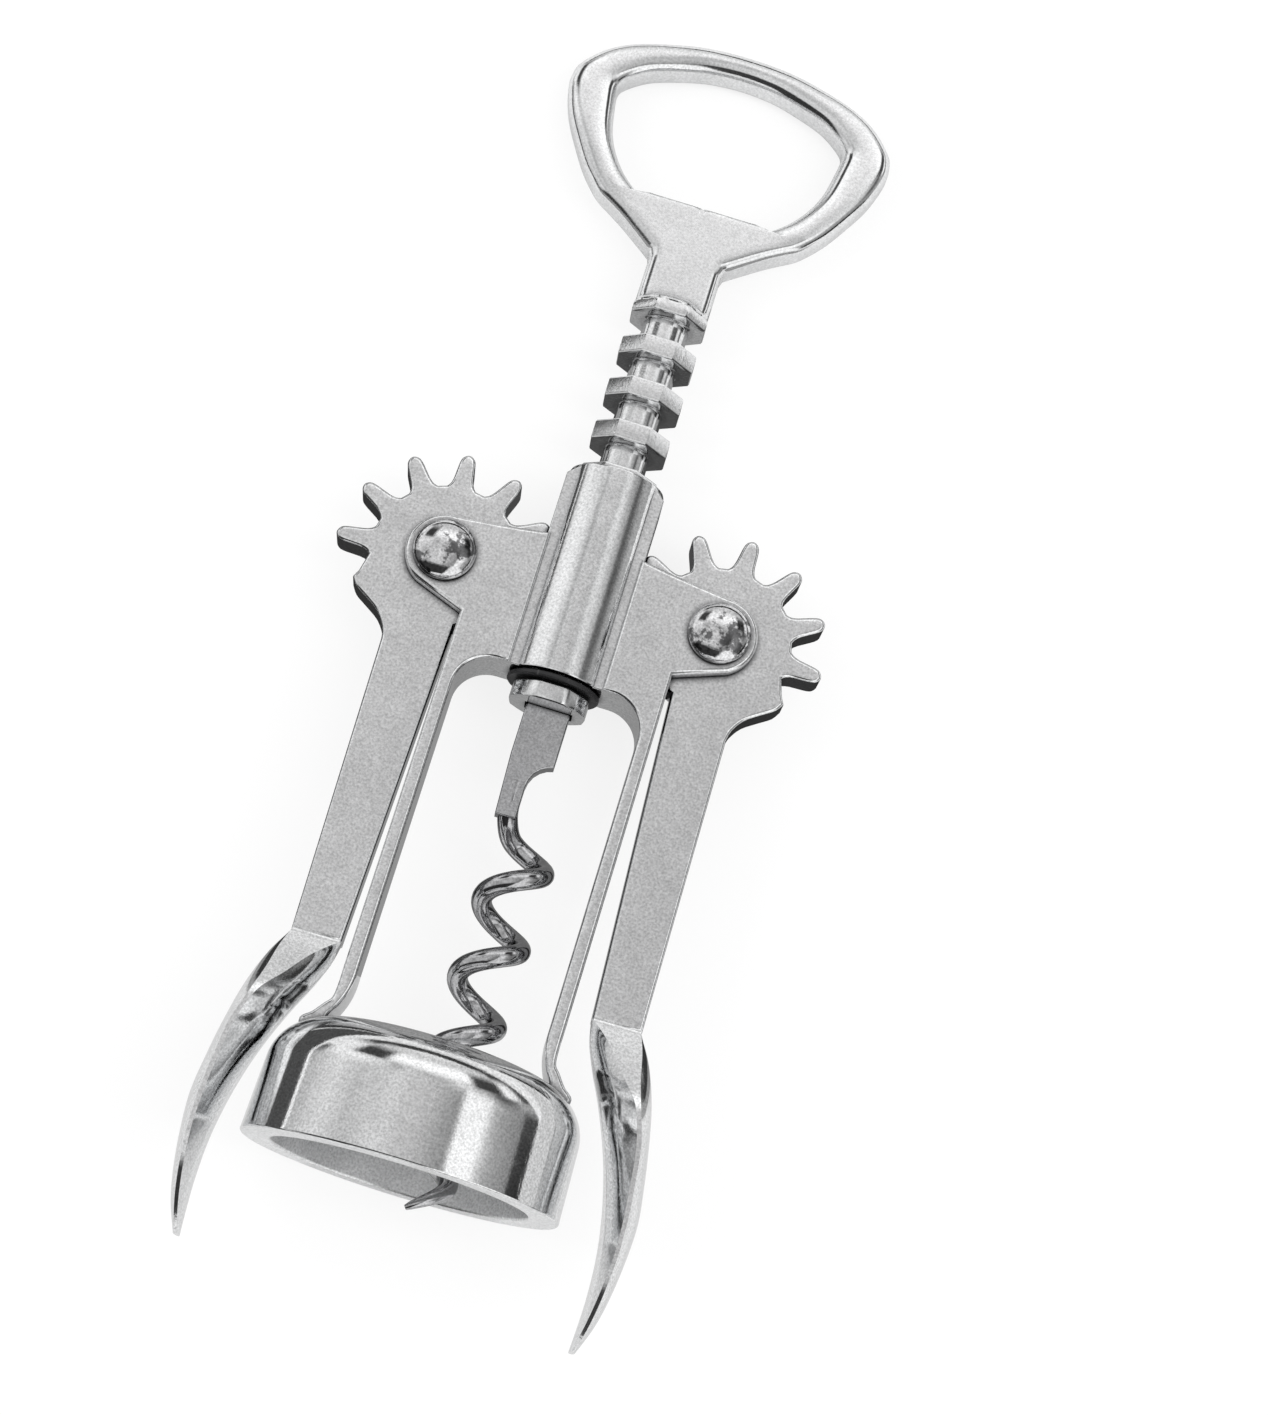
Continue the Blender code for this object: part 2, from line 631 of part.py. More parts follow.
def worm_path():
    """Points along the wire, from inside the tang to the tip, with the wire's share of its full radius."""
    lead = [
        (
            WORM_OFFSET + across * WORM_RADIUS,
            back * WORM_RADIUS,
            WORM_START + up * WORM_PITCH,
        )
        for across, back, up in LEAD_SHARES
    ]
    turns = WORM_TURNS - HELIX_FIRST_TURN_SHARE
    count = round(turns * POINTS_PER_TURN)
    coil = []
    for i in range(count + 1):
        turn = HELIX_FIRST_TURN_SHARE + turns * i / count
        angle = 2 * math.pi * turn
        coil.append(
            (
                WORM_OFFSET + WORM_RADIUS * math.cos(angle),
                -WORM_RADIUS * math.sin(angle),
                WORM_START - worm_fall(turn),
            )
        )
    start = smooth_points(lead + coil[:2], CURVE_STEPS)[: -CURVE_STEPS]
    points = start + coil
    taper = WORM_TAPER_TURNS * POINTS_PER_TURN
    shares = []
    for i in range(len(points)):
        left = (len(points) - 1 - i) / taper
        shares.append(1.0 if left >= 1.0 else WORM_TIP_SHARE + (1.0 - WORM_TIP_SHARE) * left)
    return points, shares


def report_worm_gap(points):
    """Prints the least gap between places on the wire that are half a turn or more apart."""
    places = [Vector(point) for point in points]
    along = [0.0]
    for a, b in zip(places, places[1:]):
        along.append(along[-1] + (b - a).length)
    half_turn = math.pi * WORM_RADIUS
    least = min(
        (a - b).length
        for i, a in enumerate(places)
        for k, b in enumerate(places)
        if along[k] - along[i] > half_turn
    )
    print(f"the worm's least gap to itself is {1000 * (least - 2 * WIRE_RADIUS):.1f} mm")


def add_worm(parts, cutters):
    points, shares = worm_path()
    report_worm_gap(points)
    curve = bpy.data.curves.new("wire", "CURVE")
    curve.dimensions = "3D"
    curve.bevel_depth = WIRE_RADIUS
    curve.bevel_resolution = 2
    curve.use_fill_caps = True
    spline = curve.splines.new("POLY")
    spline.points.add(len(points) - 1)
    for point, place, share in zip(spline.points, points, shares):
        point.co = (*place, 1.0)
        point.radius = share
    body = solid_from_curve(add_object("worm", curve, parts), parts)
    outline = [(-TANG_NECK_LEFT, TANG_END), (TANG_NECK_RIGHT, TANG_END)]
    outline += [(TANG_RIGHT * out, TANG_STEP - TANG_RIGHT * down) for out, down in NOTCH_SHARES]
    outline += [
        (TANG_RIGHT, COLLAR_BOTTOM + TANG_DEPTH),
        (-TANG_LEFT, COLLAR_BOTTOM + TANG_DEPTH),
        (-TANG_LEFT, TANG_STEP),
    ]
    tang = plate("tang", [outline], TANG_HALF_THICKNESS, TANG_EDGE, cutters)
    combine(body, tang, "UNION")
    return body


def add_rivet(name, sign, parts):
    """A shank through the ears and the lever with a domed head at each end."""
    seat = YOKE_HALF_DEPTH + SEAT_GAP
    dome = []
    for i in range(DOME_STEPS + 1):
        angle = math.pi / 2 * i / DOME_STEPS
        height = seat + RIVET_HEAD_HEIGHT * math.cos(angle)
        dome.append((RIVET_HEAD_RADIUS * math.sin(angle), height))
    profile = dome + [(RIVET_SHANK_RADIUS, seat), (RIVET_SHANK_RADIUS, -seat)]
    profile += [(radius, -height) for radius, height in reversed(dome)]
    obj = turned(name, profile, RIVET_STEPS, parts)
    obj.rotation_euler.x = math.pi / 2
    obj.location = (sign * PIVOT_OFFSET, 0.0, PIVOT_HEIGHT)
    return obj


def add_washer(parts):
    low = COLLAR_TOP + SEAT_GAP
    high = low + WASHER_THICKNESS
    hole = RACK_CORE_HALF_WIDTH / math.cos(math.pi / RACK_SIDES) + SEAT_GAP
    profile = [(hole, high), (WASHER_RADIUS, high), (WASHER_RADIUS, low), (hole, low)]
    return turned("stop_washer", profile, BARREL_STEPS, parts, closed=True)


def lay_down(root, pieces):
    """Lays the tool on its back and puts the world's origin under the middle of its box."""
    for piece in pieces:
        piece.parent = root
    root.rotation_euler.x = -math.radians(90.0 + LYING_ANGLE)
    bpy.context.view_layer.update()
    corners = [
        piece.matrix_world @ vertex.co for piece in pieces for vertex in piece.data.vertices
    ]
    low = [min(corner[axis] for corner in corners) for axis in range(3)]
    high = [max(corner[axis] for corner in corners) for axis in range(3)]
    root.location = (-(low[0] + high[0]) / 2, -(low[1] + high[1]) / 2, -low[2])
    bpy.context.view_layer.update()


def main():
    clear_scene()
    parts = new_collection("corkscrew")
    cutters = new_collection("corkscrew cutters")
    cast = metal("cast_chrome", (0.80, 0.80, 0.81), 0.16, 1.0)
    handle_finish = metal("handle_chrome", (0.80, 0.80, 0.81), 0.20, 1.0)
    lever_finish = metal("lever_chrome", (0.78, 0.78, 0.79), 0.22, 1.0)
    steel = metal("worm_steel", (0.42, 0.42, 0.43), 0.24, 1.0)
    rivet_finish = metal("rivet_steel", (0.72, 0.72, 0.73), 0.18, 1.0)
    black = metal("washer_black", (0.02, 0.02, 0.02), 0.55, 0.0)
    frame = add_frame(parts, cutters)
    handle = add_handle(parts, cutters)
    worm = add_worm(parts, cutters)
    right = add_lever("right_lever", 1, RIGHT_LEAN, parts, cutters)
    left = add_lever("left_lever", -1, LEFT_LEAN, parts, cutters)
    right_rivet = add_rivet("right_rivet", 1, parts)
    left_rivet = add_rivet("left_rivet", -1, parts)
    washer = add_washer(parts)
    looks = (
        (frame, cast),
        (handle, handle_finish),
        (worm, steel),
        (right, lever_finish),
        (left, lever_finish),
        (right_rivet, rivet_finish),
        (left_rivet, rivet_finish),
        (washer, black),
    )
    for piece, material in looks:
        finish(piece, material)
    root = bpy.data.objects.new("corkscrew_root", None)
    parts.objects.link(root)
    lay_down(root, [piece for piece, _ in looks])


main()
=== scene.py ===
"""A winged lever corkscrew in polished chrome, dressed over its packed solids on a white studio floor.

Shapes are drawn in millimetres in the tool's own frame: X to the right, Z from the rim of the bell
towards the handle, and -Y out of its front. place_piece lays each one down into the row frame, in metres.
"""

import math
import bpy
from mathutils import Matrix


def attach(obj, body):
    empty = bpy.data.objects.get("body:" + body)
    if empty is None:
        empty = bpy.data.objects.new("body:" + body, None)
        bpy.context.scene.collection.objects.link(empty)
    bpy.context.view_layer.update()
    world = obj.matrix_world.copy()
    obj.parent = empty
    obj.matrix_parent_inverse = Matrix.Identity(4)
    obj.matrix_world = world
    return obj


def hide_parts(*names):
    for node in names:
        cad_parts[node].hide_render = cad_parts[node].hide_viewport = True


bl_info = {
    "name": "Winged Lever Corkscrew",
    "version": (1, 0, 0),
    "blender": (4, 5, 0),
    "location": "3D View > Sidebar > Corkscrew",
    "description": "Builds a chromed corkscrew with its levers, rack, worm and white studio",
    "category": "Add Mesh",
}

import types

import bmesh
import bpy
from mathutils import Matrix, Vector

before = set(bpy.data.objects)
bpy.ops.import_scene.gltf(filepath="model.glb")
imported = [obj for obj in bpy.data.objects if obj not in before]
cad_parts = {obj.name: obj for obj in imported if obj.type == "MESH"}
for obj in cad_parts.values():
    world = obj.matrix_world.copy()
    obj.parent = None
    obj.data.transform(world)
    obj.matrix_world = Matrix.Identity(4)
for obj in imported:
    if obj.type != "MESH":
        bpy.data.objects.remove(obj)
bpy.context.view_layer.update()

MILLIMETRE = 0.001
# The tool's two sides, as signs of X and in words
SIDES = ((1, "right"), (-1, "left"))

# How the tool lies: the place of its rim's centre in the row frame, and its turn about X
LYING_PLACE = (0.0, -0.0766997, 0.0221981)
LYING_TURN = -96.517773
TO_ROW = (
    Matrix.Translation(LYING_PLACE)
    @ Matrix.Rotation(math.radians(LYING_TURN), 4, "X")
    @ Matrix.Scale(MILLIMETRE, 4)
)
FRONT_AXIS = (TO_ROW.to_3x3() @ Vector((0.0, -1.0, 0.0))).normalized()

# The camera in the tool's frame: its place, and the directions to the right and up in the photograph
CAMERA_PLACE = (11.785, -365.579, -39.005)
CAMERA_RIGHT = (0.9566636, -0.0821064, 0.2793802)
CAMERA_UP = (-0.2911927, -0.2738795, 0.9166225)
CAMERA_LENS = 71.237

# A tooth's flank, as shares of its depth and of half its base; the teeth of a full circle, and those it has
TOOTH_FLANK = (
    (0.0, 1.0), (0.10, 0.80), (0.30, 0.66), (0.68, 0.56), (0.87, 0.46), (0.96, 0.28), (1.0, 0.08),
)
TOOTH_TURNS = 12
TOOTH_COUNT = 7
STUB = ((0.345, -0.80), (0.43, -0.675), (0.57, -0.575), (0.68, -0.50), (0.735, -0.42), (0.70, -0.35))
# The wing: along it, inner keel, inner edge, outer edge and outer keel across its sweep, half breadth
WING_ROWS = (
    (0.00, 0.000, 0.015, 0.515, 0.523, 0.300),
    (0.07, 0.046, 0.238, 0.577, 0.660, 0.510),
    (0.155, 0.154, 0.430, 0.623, 0.770, 0.750),
    (0.24, 0.285, 0.630, 0.690, 0.845, 0.950),
    (0.35, 0.430, 0.740, 0.790, 0.910, 1.000),
    (0.455, 0.540, 0.785, 0.830, 0.960, 1.000),
    (0.575, 0.630, 0.815, 0.860, 1.000, 1.000),
    (0.695, 0.685, 0.823, 0.862, 0.977, 0.970),
    (0.815, 0.700, 0.790, 0.830, 0.923, 0.860),
    (0.91, 0.690, 0.746, 0.785, 0.850, 0.640),
    (1.00, 0.670, 0.690, 0.715, 0.735, 0.300),
)
WING_BOW = ((0.35, 0.12), (0.70, 0.48))
# The ring from the neck up: its outer outline, and the point across, on the middle line or the hole
RING_OUTSIDE = (
    (5.3, 125.4), (5.3, 129.6), (5.3, 134.2), (5.7, 135.4), (8.0, 137.1), (10.8, 139.1), (13.2, 140.6),
    (15.2, 141.8), (17.0, 143.6), (18.6, 145.6), (20.7, 149.0), (22.6, 152.5), (23.85, 156.3), (24.0, 158.7),
    (23.2, 160.9), (20.1, 164.1), (15.8, 166.4), (9.0, 168.4), (4.5, 169.1), (0.0, 169.3),
)
RING_INSIDE = (
    (0.0, 125.4), (0.0, 129.6), (0.0, 134.0), (0.0, 137.5), (0.0, 140.6), (0.0, 143.6), (3.6, 143.6),
    (6.6, 143.6), (8.9, 142.6), (12.0, 145.3), (14.3, 148.3), (15.8, 151.6), (16.6, 155.5), (16.9, 158.5),
    (15.9, 160.2), (13.2, 162.2), (10.2, 163.4), (6.0, 164.6), (3.0, 165.05), (0.0, 165.2),
)
RING_CORNERS = (2, 3)
HOLE_CORNERS = (5, 7, 8)
HOLE_START = 5
# The ring's crown: how far in from an edge it reaches its height, and how many points past the hole's start
CROWN_REACH = 3.6
CROWN_START = 3.5
# Across the ring's plate from edge to edge: where its points lie, and in the solid part below the hole
PLATE_PLACES = (0.12, 0.27, 0.42, 0.58, 0.73, 0.88)
MIDDLE_PLACES = (1.0, 0.8, 0.6, 0.4, 0.2, 0.0)
# How the wire leaves the tang: across, back and up, in shares of the worm's radius and pitch
WIRE_LEAD = (
    (-1.09, 0.0, 1.02), (-1.09, 0.0, 0.79), (-0.99, 0.17, 0.575), (-0.70, 0.66, 0.39), (-0.26, 0.95, 0.29),
)
FIRST_TURN = -0.17
WIRE_STEPS = 40
WIRE_SIDES = 28
# The worm's last turns: how far they close up, and the share of the run at which they are even again
CLOSING_AMOUNT = 0.80
CLOSING_EVEN = 0.88
# The wire's point: turns over which it tapers, the share of the radius left at its tip, and how it bulges
TAPER_TURNS = 0.33
TIP_SHARE = 0.25
TAPER_BULGE = 0.7
# The tang's outline, anticlockwise from its lower left, in millimetres
TANG_OUTLINE = (
    (-2.4, 50.0), (0.45, 50.0), (0.45, 54.6), (0.62, 55.7), (1.05, 56.7), (1.75, 57.5), (2.6, 58.05),
    (3.4, 58.3), (3.4, 67.8), (-2.8, 67.8), (-2.8, 58.7),
)
# The collar's socket for the tang: its sides, its depth and the gap to the tang, in millimetres
SOCKET_SIDES = (-3.05, 3.65)
SOCKET_DEPTH = 2.05
SOCKET_GAP = 0.25
SOCKET_EDGE = 0.02
TANG_EDGE = 0.3
# How far a cutter runs on past what it cuts, and a wing into its arm
OVERRUN = 2.0
# A rounded edge, as shares of its radius inwards and along the side
EDGE_ROUND = ((1.0, 0.0), (0.3, 0.3), (0.0, 1.0))
# Where the rack's core spreads to a disc: how far out, and how far from the disc
CORE_FILLET = ((0.55, 0.0), (0.22, 0.08), (0.0, 0.30))
HEAD_STEPS = 12
HEAD_ROUNDNESS = 0.6
COLLAR_ROUNDNESS = 0.5
# The bell's edges, where its side is divided, and its lip: outwards from the flat's end, and up
BELL_EDGE = 0.35
BELL_SIDES = 192
SIDE_PLACES = (0.3, 0.6, 0.9)
SHOULDER_STEPS = 16
LIP = ((0.1, 0.0), (-0.08, 0.06))
LIP_HEIGHT = 0.4
BARREL_EDGE = 0.25
BARREL_SIDES = 128
SLAB_EDGE = 0.2
# The rail's foot in the bell, the ear's round, and the dip between the ear and the barrel
FOOT_DEPTH = 2.5
EAR_ROUND = (-62.0, 92.0)
EAR_DIP = (12.0, 0.85)
ARCH_INSET = 0.5
# Faces nearer than these to the bell's inside and ceiling, or within the rim's flat, are left dull
DULL_WALL = 0.15
DULL_CEILING = 0.1
DULL_RIM = 0.4
DULL_RIM_HEIGHT = 0.3
# The rivet's skirt under its dome, the draught of its side, and how near to its middle the dome starts
RIVET_SKIRT = 0.25
RIVET_DRAUGHT = 0.05
RIVET_STEPS = 16
RIVET_FIRST = 0.3
ROUND_SIDES = 96
HOLE_GAP = 0.3
WASHER_EDGE = 0.15
# The tent's glow round the tool, which paints the metal's reflections and highlights, as (degrees from
# overhead, right positive; level), at places along the tool
NEAR_END = ((-108, 0.04), (-20, 0.04), (18, 0.05), (28, 1.10), (90, 1.10), (108, 0.6))
OVER_BELL = (
    (-108, 0.09), (-96, 0.10), (-91, 0.55), (-80, 0.67), (-64, 0.79), (-48, 0.58), (-40, 0.61), (-24, 0.73),
    (-8, 0.77), (0, 0.72), (8, 0.55), (16, 0.42), (24, 0.305), (27, 0.30), (30, 1.12), (46, 1.12),
    (52, 0.64), (58, 0.44), (66, 0.36), (76, 0.265), (78, 0.045), (90, 0.03), (98, 0.45), (108, 0.65),
)
OVER_BARREL = (
    (-108, 0.10), (-84, 0.12), (-80, 0.76), (-72, 0.95), (-64, 1.01), (-48, 1.01), (-40, 0.90), (-32, 0.72),
    (-24, 0.46), (-16, 0.72), (-8, 0.60), (0, 0.56), (8, 0.56), (16, 0.60), (24, 0.815), (32, 0.75),
    (40, 0.585), (48, 0.44), (54, 0.15), (60, 0.10), (68, 0.18), (74, 0.36), (80, 0.46), (108, 0.46),
)
RING_LEFT = ((-108, 0.95), (-66, 0.95), (-58, 0.06), (-38, 0.06))
RING_RIGHT = ((38, 0.06), (58, 0.06), (66, 1.10), (74, 0.90), (80, 0.10), (108, 0.10))
OVER_NECK = RING_LEFT + ((-30, 0.90), (0, 0.94), (30, 0.94)) + RING_RIGHT
OVER_RING = RING_LEFT + ((-30, 1.15), (0, 1.22), (30, 1.30)) + RING_RIGHT
FAR_SIDES = ((-108, 0.06), (-66, 0.06), (-60, 0.70), (0, 0.75), (60, 0.70), (66, 0.06), (108, 0.06))
FAR_END = ((-108, 0.06), (-58, 0.06), (-50, 0.65), (0, 0.70), (50, 0.65), (58, 0.06), (108, 0.06))
TENT_TONES = (
    (-1500, NEAR_END), (-280, NEAR_END), (-180, OVER_BELL), (120, OVER_BELL), (270, OVER_BARREL),
    (330, OVER_BARREL), (400, OVER_NECK), (425, OVER_NECK), (480, OVER_RING), (650, OVER_RING),
    (1000, FAR_SIDES), (1500, FAR_END),
)
TENT_ANGLES = range(-108, 110, 2)
TENT_PLACES = range(-1500, 1550, 50)
TENT_LAYER = "level"
# Glowing cards on the floor, seen only in the metal, that paint the tool's shadow and light and dark patches
# into its reflections: name, level, (left, right, near, far) and height in metres
FLOOR_CARDS = (
    ("dark reflection card", 0.08, (-0.36, -0.052, -0.20, 0.10), 0.0006),
    ("light reflection card", 0.70, (0.055, 0.50, -0.20, 0.02), 0.0006),
    ("shade under the arms", 0.34, (-0.050, 0.050, -0.052, 0.055), 0.0003),
    ("light left of the bell", 0.85, (-0.050, -0.014, -0.105, -0.054), 0.0003),
    ("light right of the bell", 0.85, (0.014, 0.052, -0.105, -0.054), 0.0003),
    ("shade behind the left arm", 0.04, (-0.048, -0.018, -0.048, 0.034), 0.0006),
    ("shade behind the right arm", 0.04, (0.018, 0.048, -0.048, 0.034), 0.0006),
    ("shade behind the rack", 0.08, (-0.014, 0.017, 0.000, 0.040), 0.0006),
)
# Upright glowing cards across the ends, which paint dark reflections into the metal: name, level, y, half
# width and height in metres
END_CARDS = (("near dark reflection card", 0.01, -0.30, 0.20, 0.045), ("far dark reflection card", 0.05, 1.45, 0.80, 0.24))
# Lamps that face the tool: name, place, width and run in metres, and power in watts
LAMPS = (
    ("right lamp", (0.42, 0.0, 0.47), 0.16, 0.9, 2.2),
    ("left lamp", (-0.55, 0.0, 0.30), 0.22, 0.9, 2.2),
)
# Between these lie most of a noise's values
NOISE_LOW = 0.3
NOISE_HIGH = 0.7
WHITE = (1.0, 1.0, 1.0, 1.0)


def length(name, description, default):
    return bpy.props.FloatProperty(
        name=name, description=description, default=default, min=0.0, unit="LENGTH", precision=5
    )


def colour(name, description, default):
    return bpy.props.FloatVectorProperty(
        name=name, description=description, default=default, min=0.0, max=1.0, size=3, subtype="COLOR"
    )


def share(name, description, default):
    return bpy.props.FloatProperty(
        name=name, description=description, default=default, min=0.0, max=1.0, subtype="FACTOR"
    )


def angle(name, description, degrees):
    return bpy.props.FloatProperty(
        name=name, description=description, default=math.radians(degrees), subtype="ANGLE"
    )


def turn_count(name, description, default, least):
    return bpy.props.FloatProperty(name=name, description=description, default=default, min=least)


class CastingSizes(bpy.types.PropertyGroup):
    """The bell, the yoke and the barrel, which are one casting."""

    rim_radius: length("Rim radius", "Radius of the bell at its rim", 0.0215)
    side_radius: length("Side radius", "Radius of the bell where its shoulder starts", 0.0212)
    side_height: length("Side height", "Height of the bell's straight side", 0.0100)
    bell_height: length("Bell height", "Height of the bell's crown over its rim", 0.0170)
    bell_wall: length("Bell wall", "Thickness of the bell's side", 0.0042)
    crown_wall: length("Crown wall", "Thickness of the bell's crown", 0.0020)
    rim_flat: length("Rim flat", "Width of the flat of the rim", 0.0039)
    crown_radius: length("Crown radius", "Radius of the flat of the crown", 0.0136)
    crown_hole: length("Crown hole", "Radius of the hole that the worm passes", 0.0120)
    half_depth: length("Half depth", "Half the depth of the rails and ears", 0.0046)
    rail_outer: length("Rail outside", "Outer face of a rail from the middle", 0.0150)
    rail_inner: length("Rail inside", "Inner face of a rail from the middle", 0.0130)
    foot_start: length("Foot start", "Height at which a rail's foot starts to spread", 0.0205)
    foot_spread: length("Foot spread", "How far a rail's foot spreads", 0.0034)
    arch_height: length("Arch height", "Height of the arch over the rim", 0.0698)
    arch_corner: length("Arch corner", "Radius of the arch's corners", 0.0050)
    ear_underside: length("Ear underside", "Height at which an ear leaves its rail", 0.0748)
    ear_radius: length("Ear radius", "Radius of an ear's round end", 0.0054)
    ear_top: length("Ear top", "Height of the ears at the barrel", 0.0893)
    edge: length("Rounded edge", "Radius of the casting's edges", 0.0006)
    barrel_radius: length("Barrel radius", "Radius of the barrel", 0.0068)
    barrel_bore: length("Barrel bore", "Radius of the barrel's bore", 0.00605)
    barrel_top: length("Barrel top", "Height of the barrel's upper end", 0.1003)
    slab_half_width: length("Slab half width", "Half the width of the flats beside the barrel", 0.00695)
    slab_half_depth: length("Slab half depth", "Half the depth of the flats beside the barrel", 0.0042)
    slab_corner: length("Slab corner", "Chamfer at the top of the flats", 0.0018)
    slot_half_depth: length("Slot half depth", "Half the width of the slot for a lever", 0.0028)
    slot_radius: length("Slot radius", "Radius of the slot for a lever's gear", 0.0156)


class LeverSizes(bpy.types.PropertyGroup):
    """The two levers and the rivets that they turn on."""

    pivot_offset: length("Pivot offset", "Pivot from the middle", 0.0195)
    pivot_height: length("Pivot height", "Pivot over the rim", 0.0822)
    thickness: length("Thickness", "Thickness of a lever", 0.0050)
    edge: length("Rounded edge", "Radius of a lever's edges", 0.0005)
    tip_radius: length("Gear radius", "Radius of the gear at its teeth", 0.0151)
    root_radius: length("Root radius", "Radius of the gear between its teeth", 0.0101)
    tooth_base: length("Tooth base", "Half the width of a tooth at its base", 0.00207)
    arm_length: length("Arm length", "From the pivot to the start of the wing", 0.0552)
    arm_outer_end: length("Arm outside", "Outer edge of the arm at the wing", 0.0045)
    arm_outer_gear: length("Arm outside at the gear", "Outer edge of the arm at the gear", 0.00485)
    arm_inner_end: length("Arm inside", "Inner edge of the arm at the wing", 0.0023)
    arm_inner_gear: length("Arm inside at the gear", "Inner edge of the arm at the gear", 0.00405)
    wing_length: length("Wing length", "Length of the wing", 0.0417)
    wing_sweep: length("Wing sweep", "How far the wing sweeps outwards", 0.0130)
    wing_half_breadth: length("Wing half breadth", "Half the breadth of the wing, front to back", 0.0080)
    tooth_phase: angle("Tooth phase", "Turn of the teeth from the rack", 4.0)
    lean: angle("Lean", "Turn of the levers to the right", 0.8)
    rivet_radius: length("Rivet radius", "Radius of a rivet's head", 0.00435)
    rivet_height: length("Rivet height", "Height of a rivet's dome", 0.0024)
    rivet_seat: length("Rivet seat", "Height at which the heads start", 0.00485)
    shank_radius: length("Shank radius", "Radius of a rivet's shank", 0.0020)


class SpindleSizes(bpy.types.PropertyGroup):
    """The ring handle, the rack, the worm and the stop washer."""

    rack_pitch: length("Rack pitch", "From one disc to the next", 0.0067)
    disc_half_width: length("Disc half width", "From the axis to a disc's flat", 0.0054)
    core_radius: length("Core radius", "Radius of the core between the discs", 0.0033)
    disc_height: length("Disc height", "Thickness of a disc", 0.00295)
    disc_edge: length("Disc edge", "Chamfer of a disc", 0.0004)
    lowest_disc: length("Lowest disc", "Height of the lowest disc", 0.071568)
    collar_bottom: length("Collar bottom", "Height of the collar's lower end", 0.0660)
    collar_top: length("Collar top", "Height of the collar's upper end", 0.0686)
    head_bottom: length("Head bottom", "Height at which the neck starts", 0.125268)
    head_height: length("Head height", "Height of the neck's round foot", 0.0020)
    head_dome: length("Head dome", "Height of the dome over the foot", 0.0018)
    ring_half_depth: length("Ring half depth", "Half the thickness of the ring", 0.0030)
    ring_edge: length("Ring edge", "Radius of the ring's edges", 0.0015)
    ring_crown: length("Ring crown", "How far the ring's faces are crowned", 0.0006)
    wire_radius: length("Wire radius", "Radius of the worm's wire", 0.0014)
    worm_radius: length("Worm radius", "Radius of the worm at the wire's centre", 0.0035)
    worm_offset: length("Worm offset", "Worm's axis from the middle", 0.00285)
    worm_pitch: length("Worm pitch", "Rise of the worm in a turn", 0.01083)
    worm_start: length("Worm start", "Height at which the turns start", 0.0440)
    worm_turns: turn_count("Worm turns", "Turns of the worm", 4.29, 1.0)
    worm_closing: turn_count("Worm closing", "Turn from which the wire closes up and stretches", 2.4, 0.0)
    tang_half_thickness: length("Tang half thickness", "Half the thickness of the tang", 0.0013)
    washer_radius: length("Washer radius", "Radius of the stop washer", 0.0065)
    washer_hole: length("Washer hole", "Radius of the washer's hole", 0.00371)
    washer_bottom: length("Washer bottom", "Height of the washer's lower face", 0.06885)
    washer_thickness: length("Washer thickness", "Thickness of the washer", 0.0007)


class FinishColours(bpy.types.PropertyGroup):
    """Colours of the plating, the steel and the washer, and of the painted shade in corners, gaps and edges.
    """

    polished: colour("Polished chrome", "Colour of the rounded, polished metal", (0.86, 0.865, 0.87))
    satin: colour("Satin chrome", "Colour of the flat faces", (0.78, 0.78, 0.785))
    steel: colour("Steel", "Colour of the worm", (0.52, 0.52, 0.53))
    rivet: colour("Rivet", "Colour of the rivets", (0.80, 0.80, 0.81))
    # Painted shade for the worm and the rivets: the near black of their rims, corners and blotches
    painted_dark_shade: colour("Painted dark shade", "Colour of the outlines of the worm and the rivets", (0.02, 0.02, 0.022))
    # Painted shade: the dark colour laid into corners and gaps, where shade falls
    painted_shade: colour("Painted shade", "Colour in the corners and gaps", (0.10, 0.10, 0.105))
    washer: colour("Washer", "Colour of the stop washer", (0.012, 0.012, 0.013))


class StudioSettings(bpy.types.PropertyGroup):
    """The floor, the glowing cards that paint the metal's reflections, and the lamps."""

    floor_size: length("Floor size", "Width of the floor", 4.0)
    floor_colour: colour("Floor", "Colour of the floor", (0.92, 0.92, 0.92))
    floor_glow: share("Floor white", "How far the floor shows as white paper", 0.80)
    mirror_glow: share("Mirrored white", "How far the metal finds the floor white", 0.40)
    tent_radius: length("Tent radius", "Radius of the tent over the tool", 0.60)
    mirror_white: share("Mirrored level", "How bright that white is in the metal", 0.45)
    world_level: share("World", "Level of the plain light from all round", 0.85)


def sizes_in_mm(group):
    """A group's numbers under their own names, with its lengths in millimetres."""
    found = types.SimpleNamespace()
    for name, prop in group.bl_rna.properties.items():
        if prop.type == "FLOAT" and not prop.is_array:
            value = getattr(group, name)
            setattr(found, name, value / MILLIMETRE if prop.unit == "LENGTH" else value)
    return found


def settings(context, group):
    """One group's sizes in millimetres, and the colours."""
    return sizes_in_mm(getattr(context.scene, "corkscrew_" + group)), context.scene.corkscrew_colours


def mirrored(points):
    """The same points on the other side of the middle, in the opposite order."""
    return [(-x, z) for x, z in reversed(points)]


def smooth_points(points, steps, corners=()):
    """Points on a smooth curve through the given ones, which stays sharp at the numbered corners."""
    last = len(points) - 1
    sharp = {0, last, *corners}
    found = []
    for i in range(last):
        b = Vector(points[i])
        c = Vector(points[i + 1])
        a = b if i in sharp else Vector(points[i - 1])
        d = c if i + 1 in sharp else Vector(points[i + 2])
        for step in range(steps):
            t = step / steps
            bend = (2 * a - 5 * b + 4 * c - d) * t**2 + (3 * b - a - 3 * c + d) * t**3
            found.append(tuple((2 * b + (c - a) * t + bend) / 2))
    found.append(tuple(points[-1]))
    return found


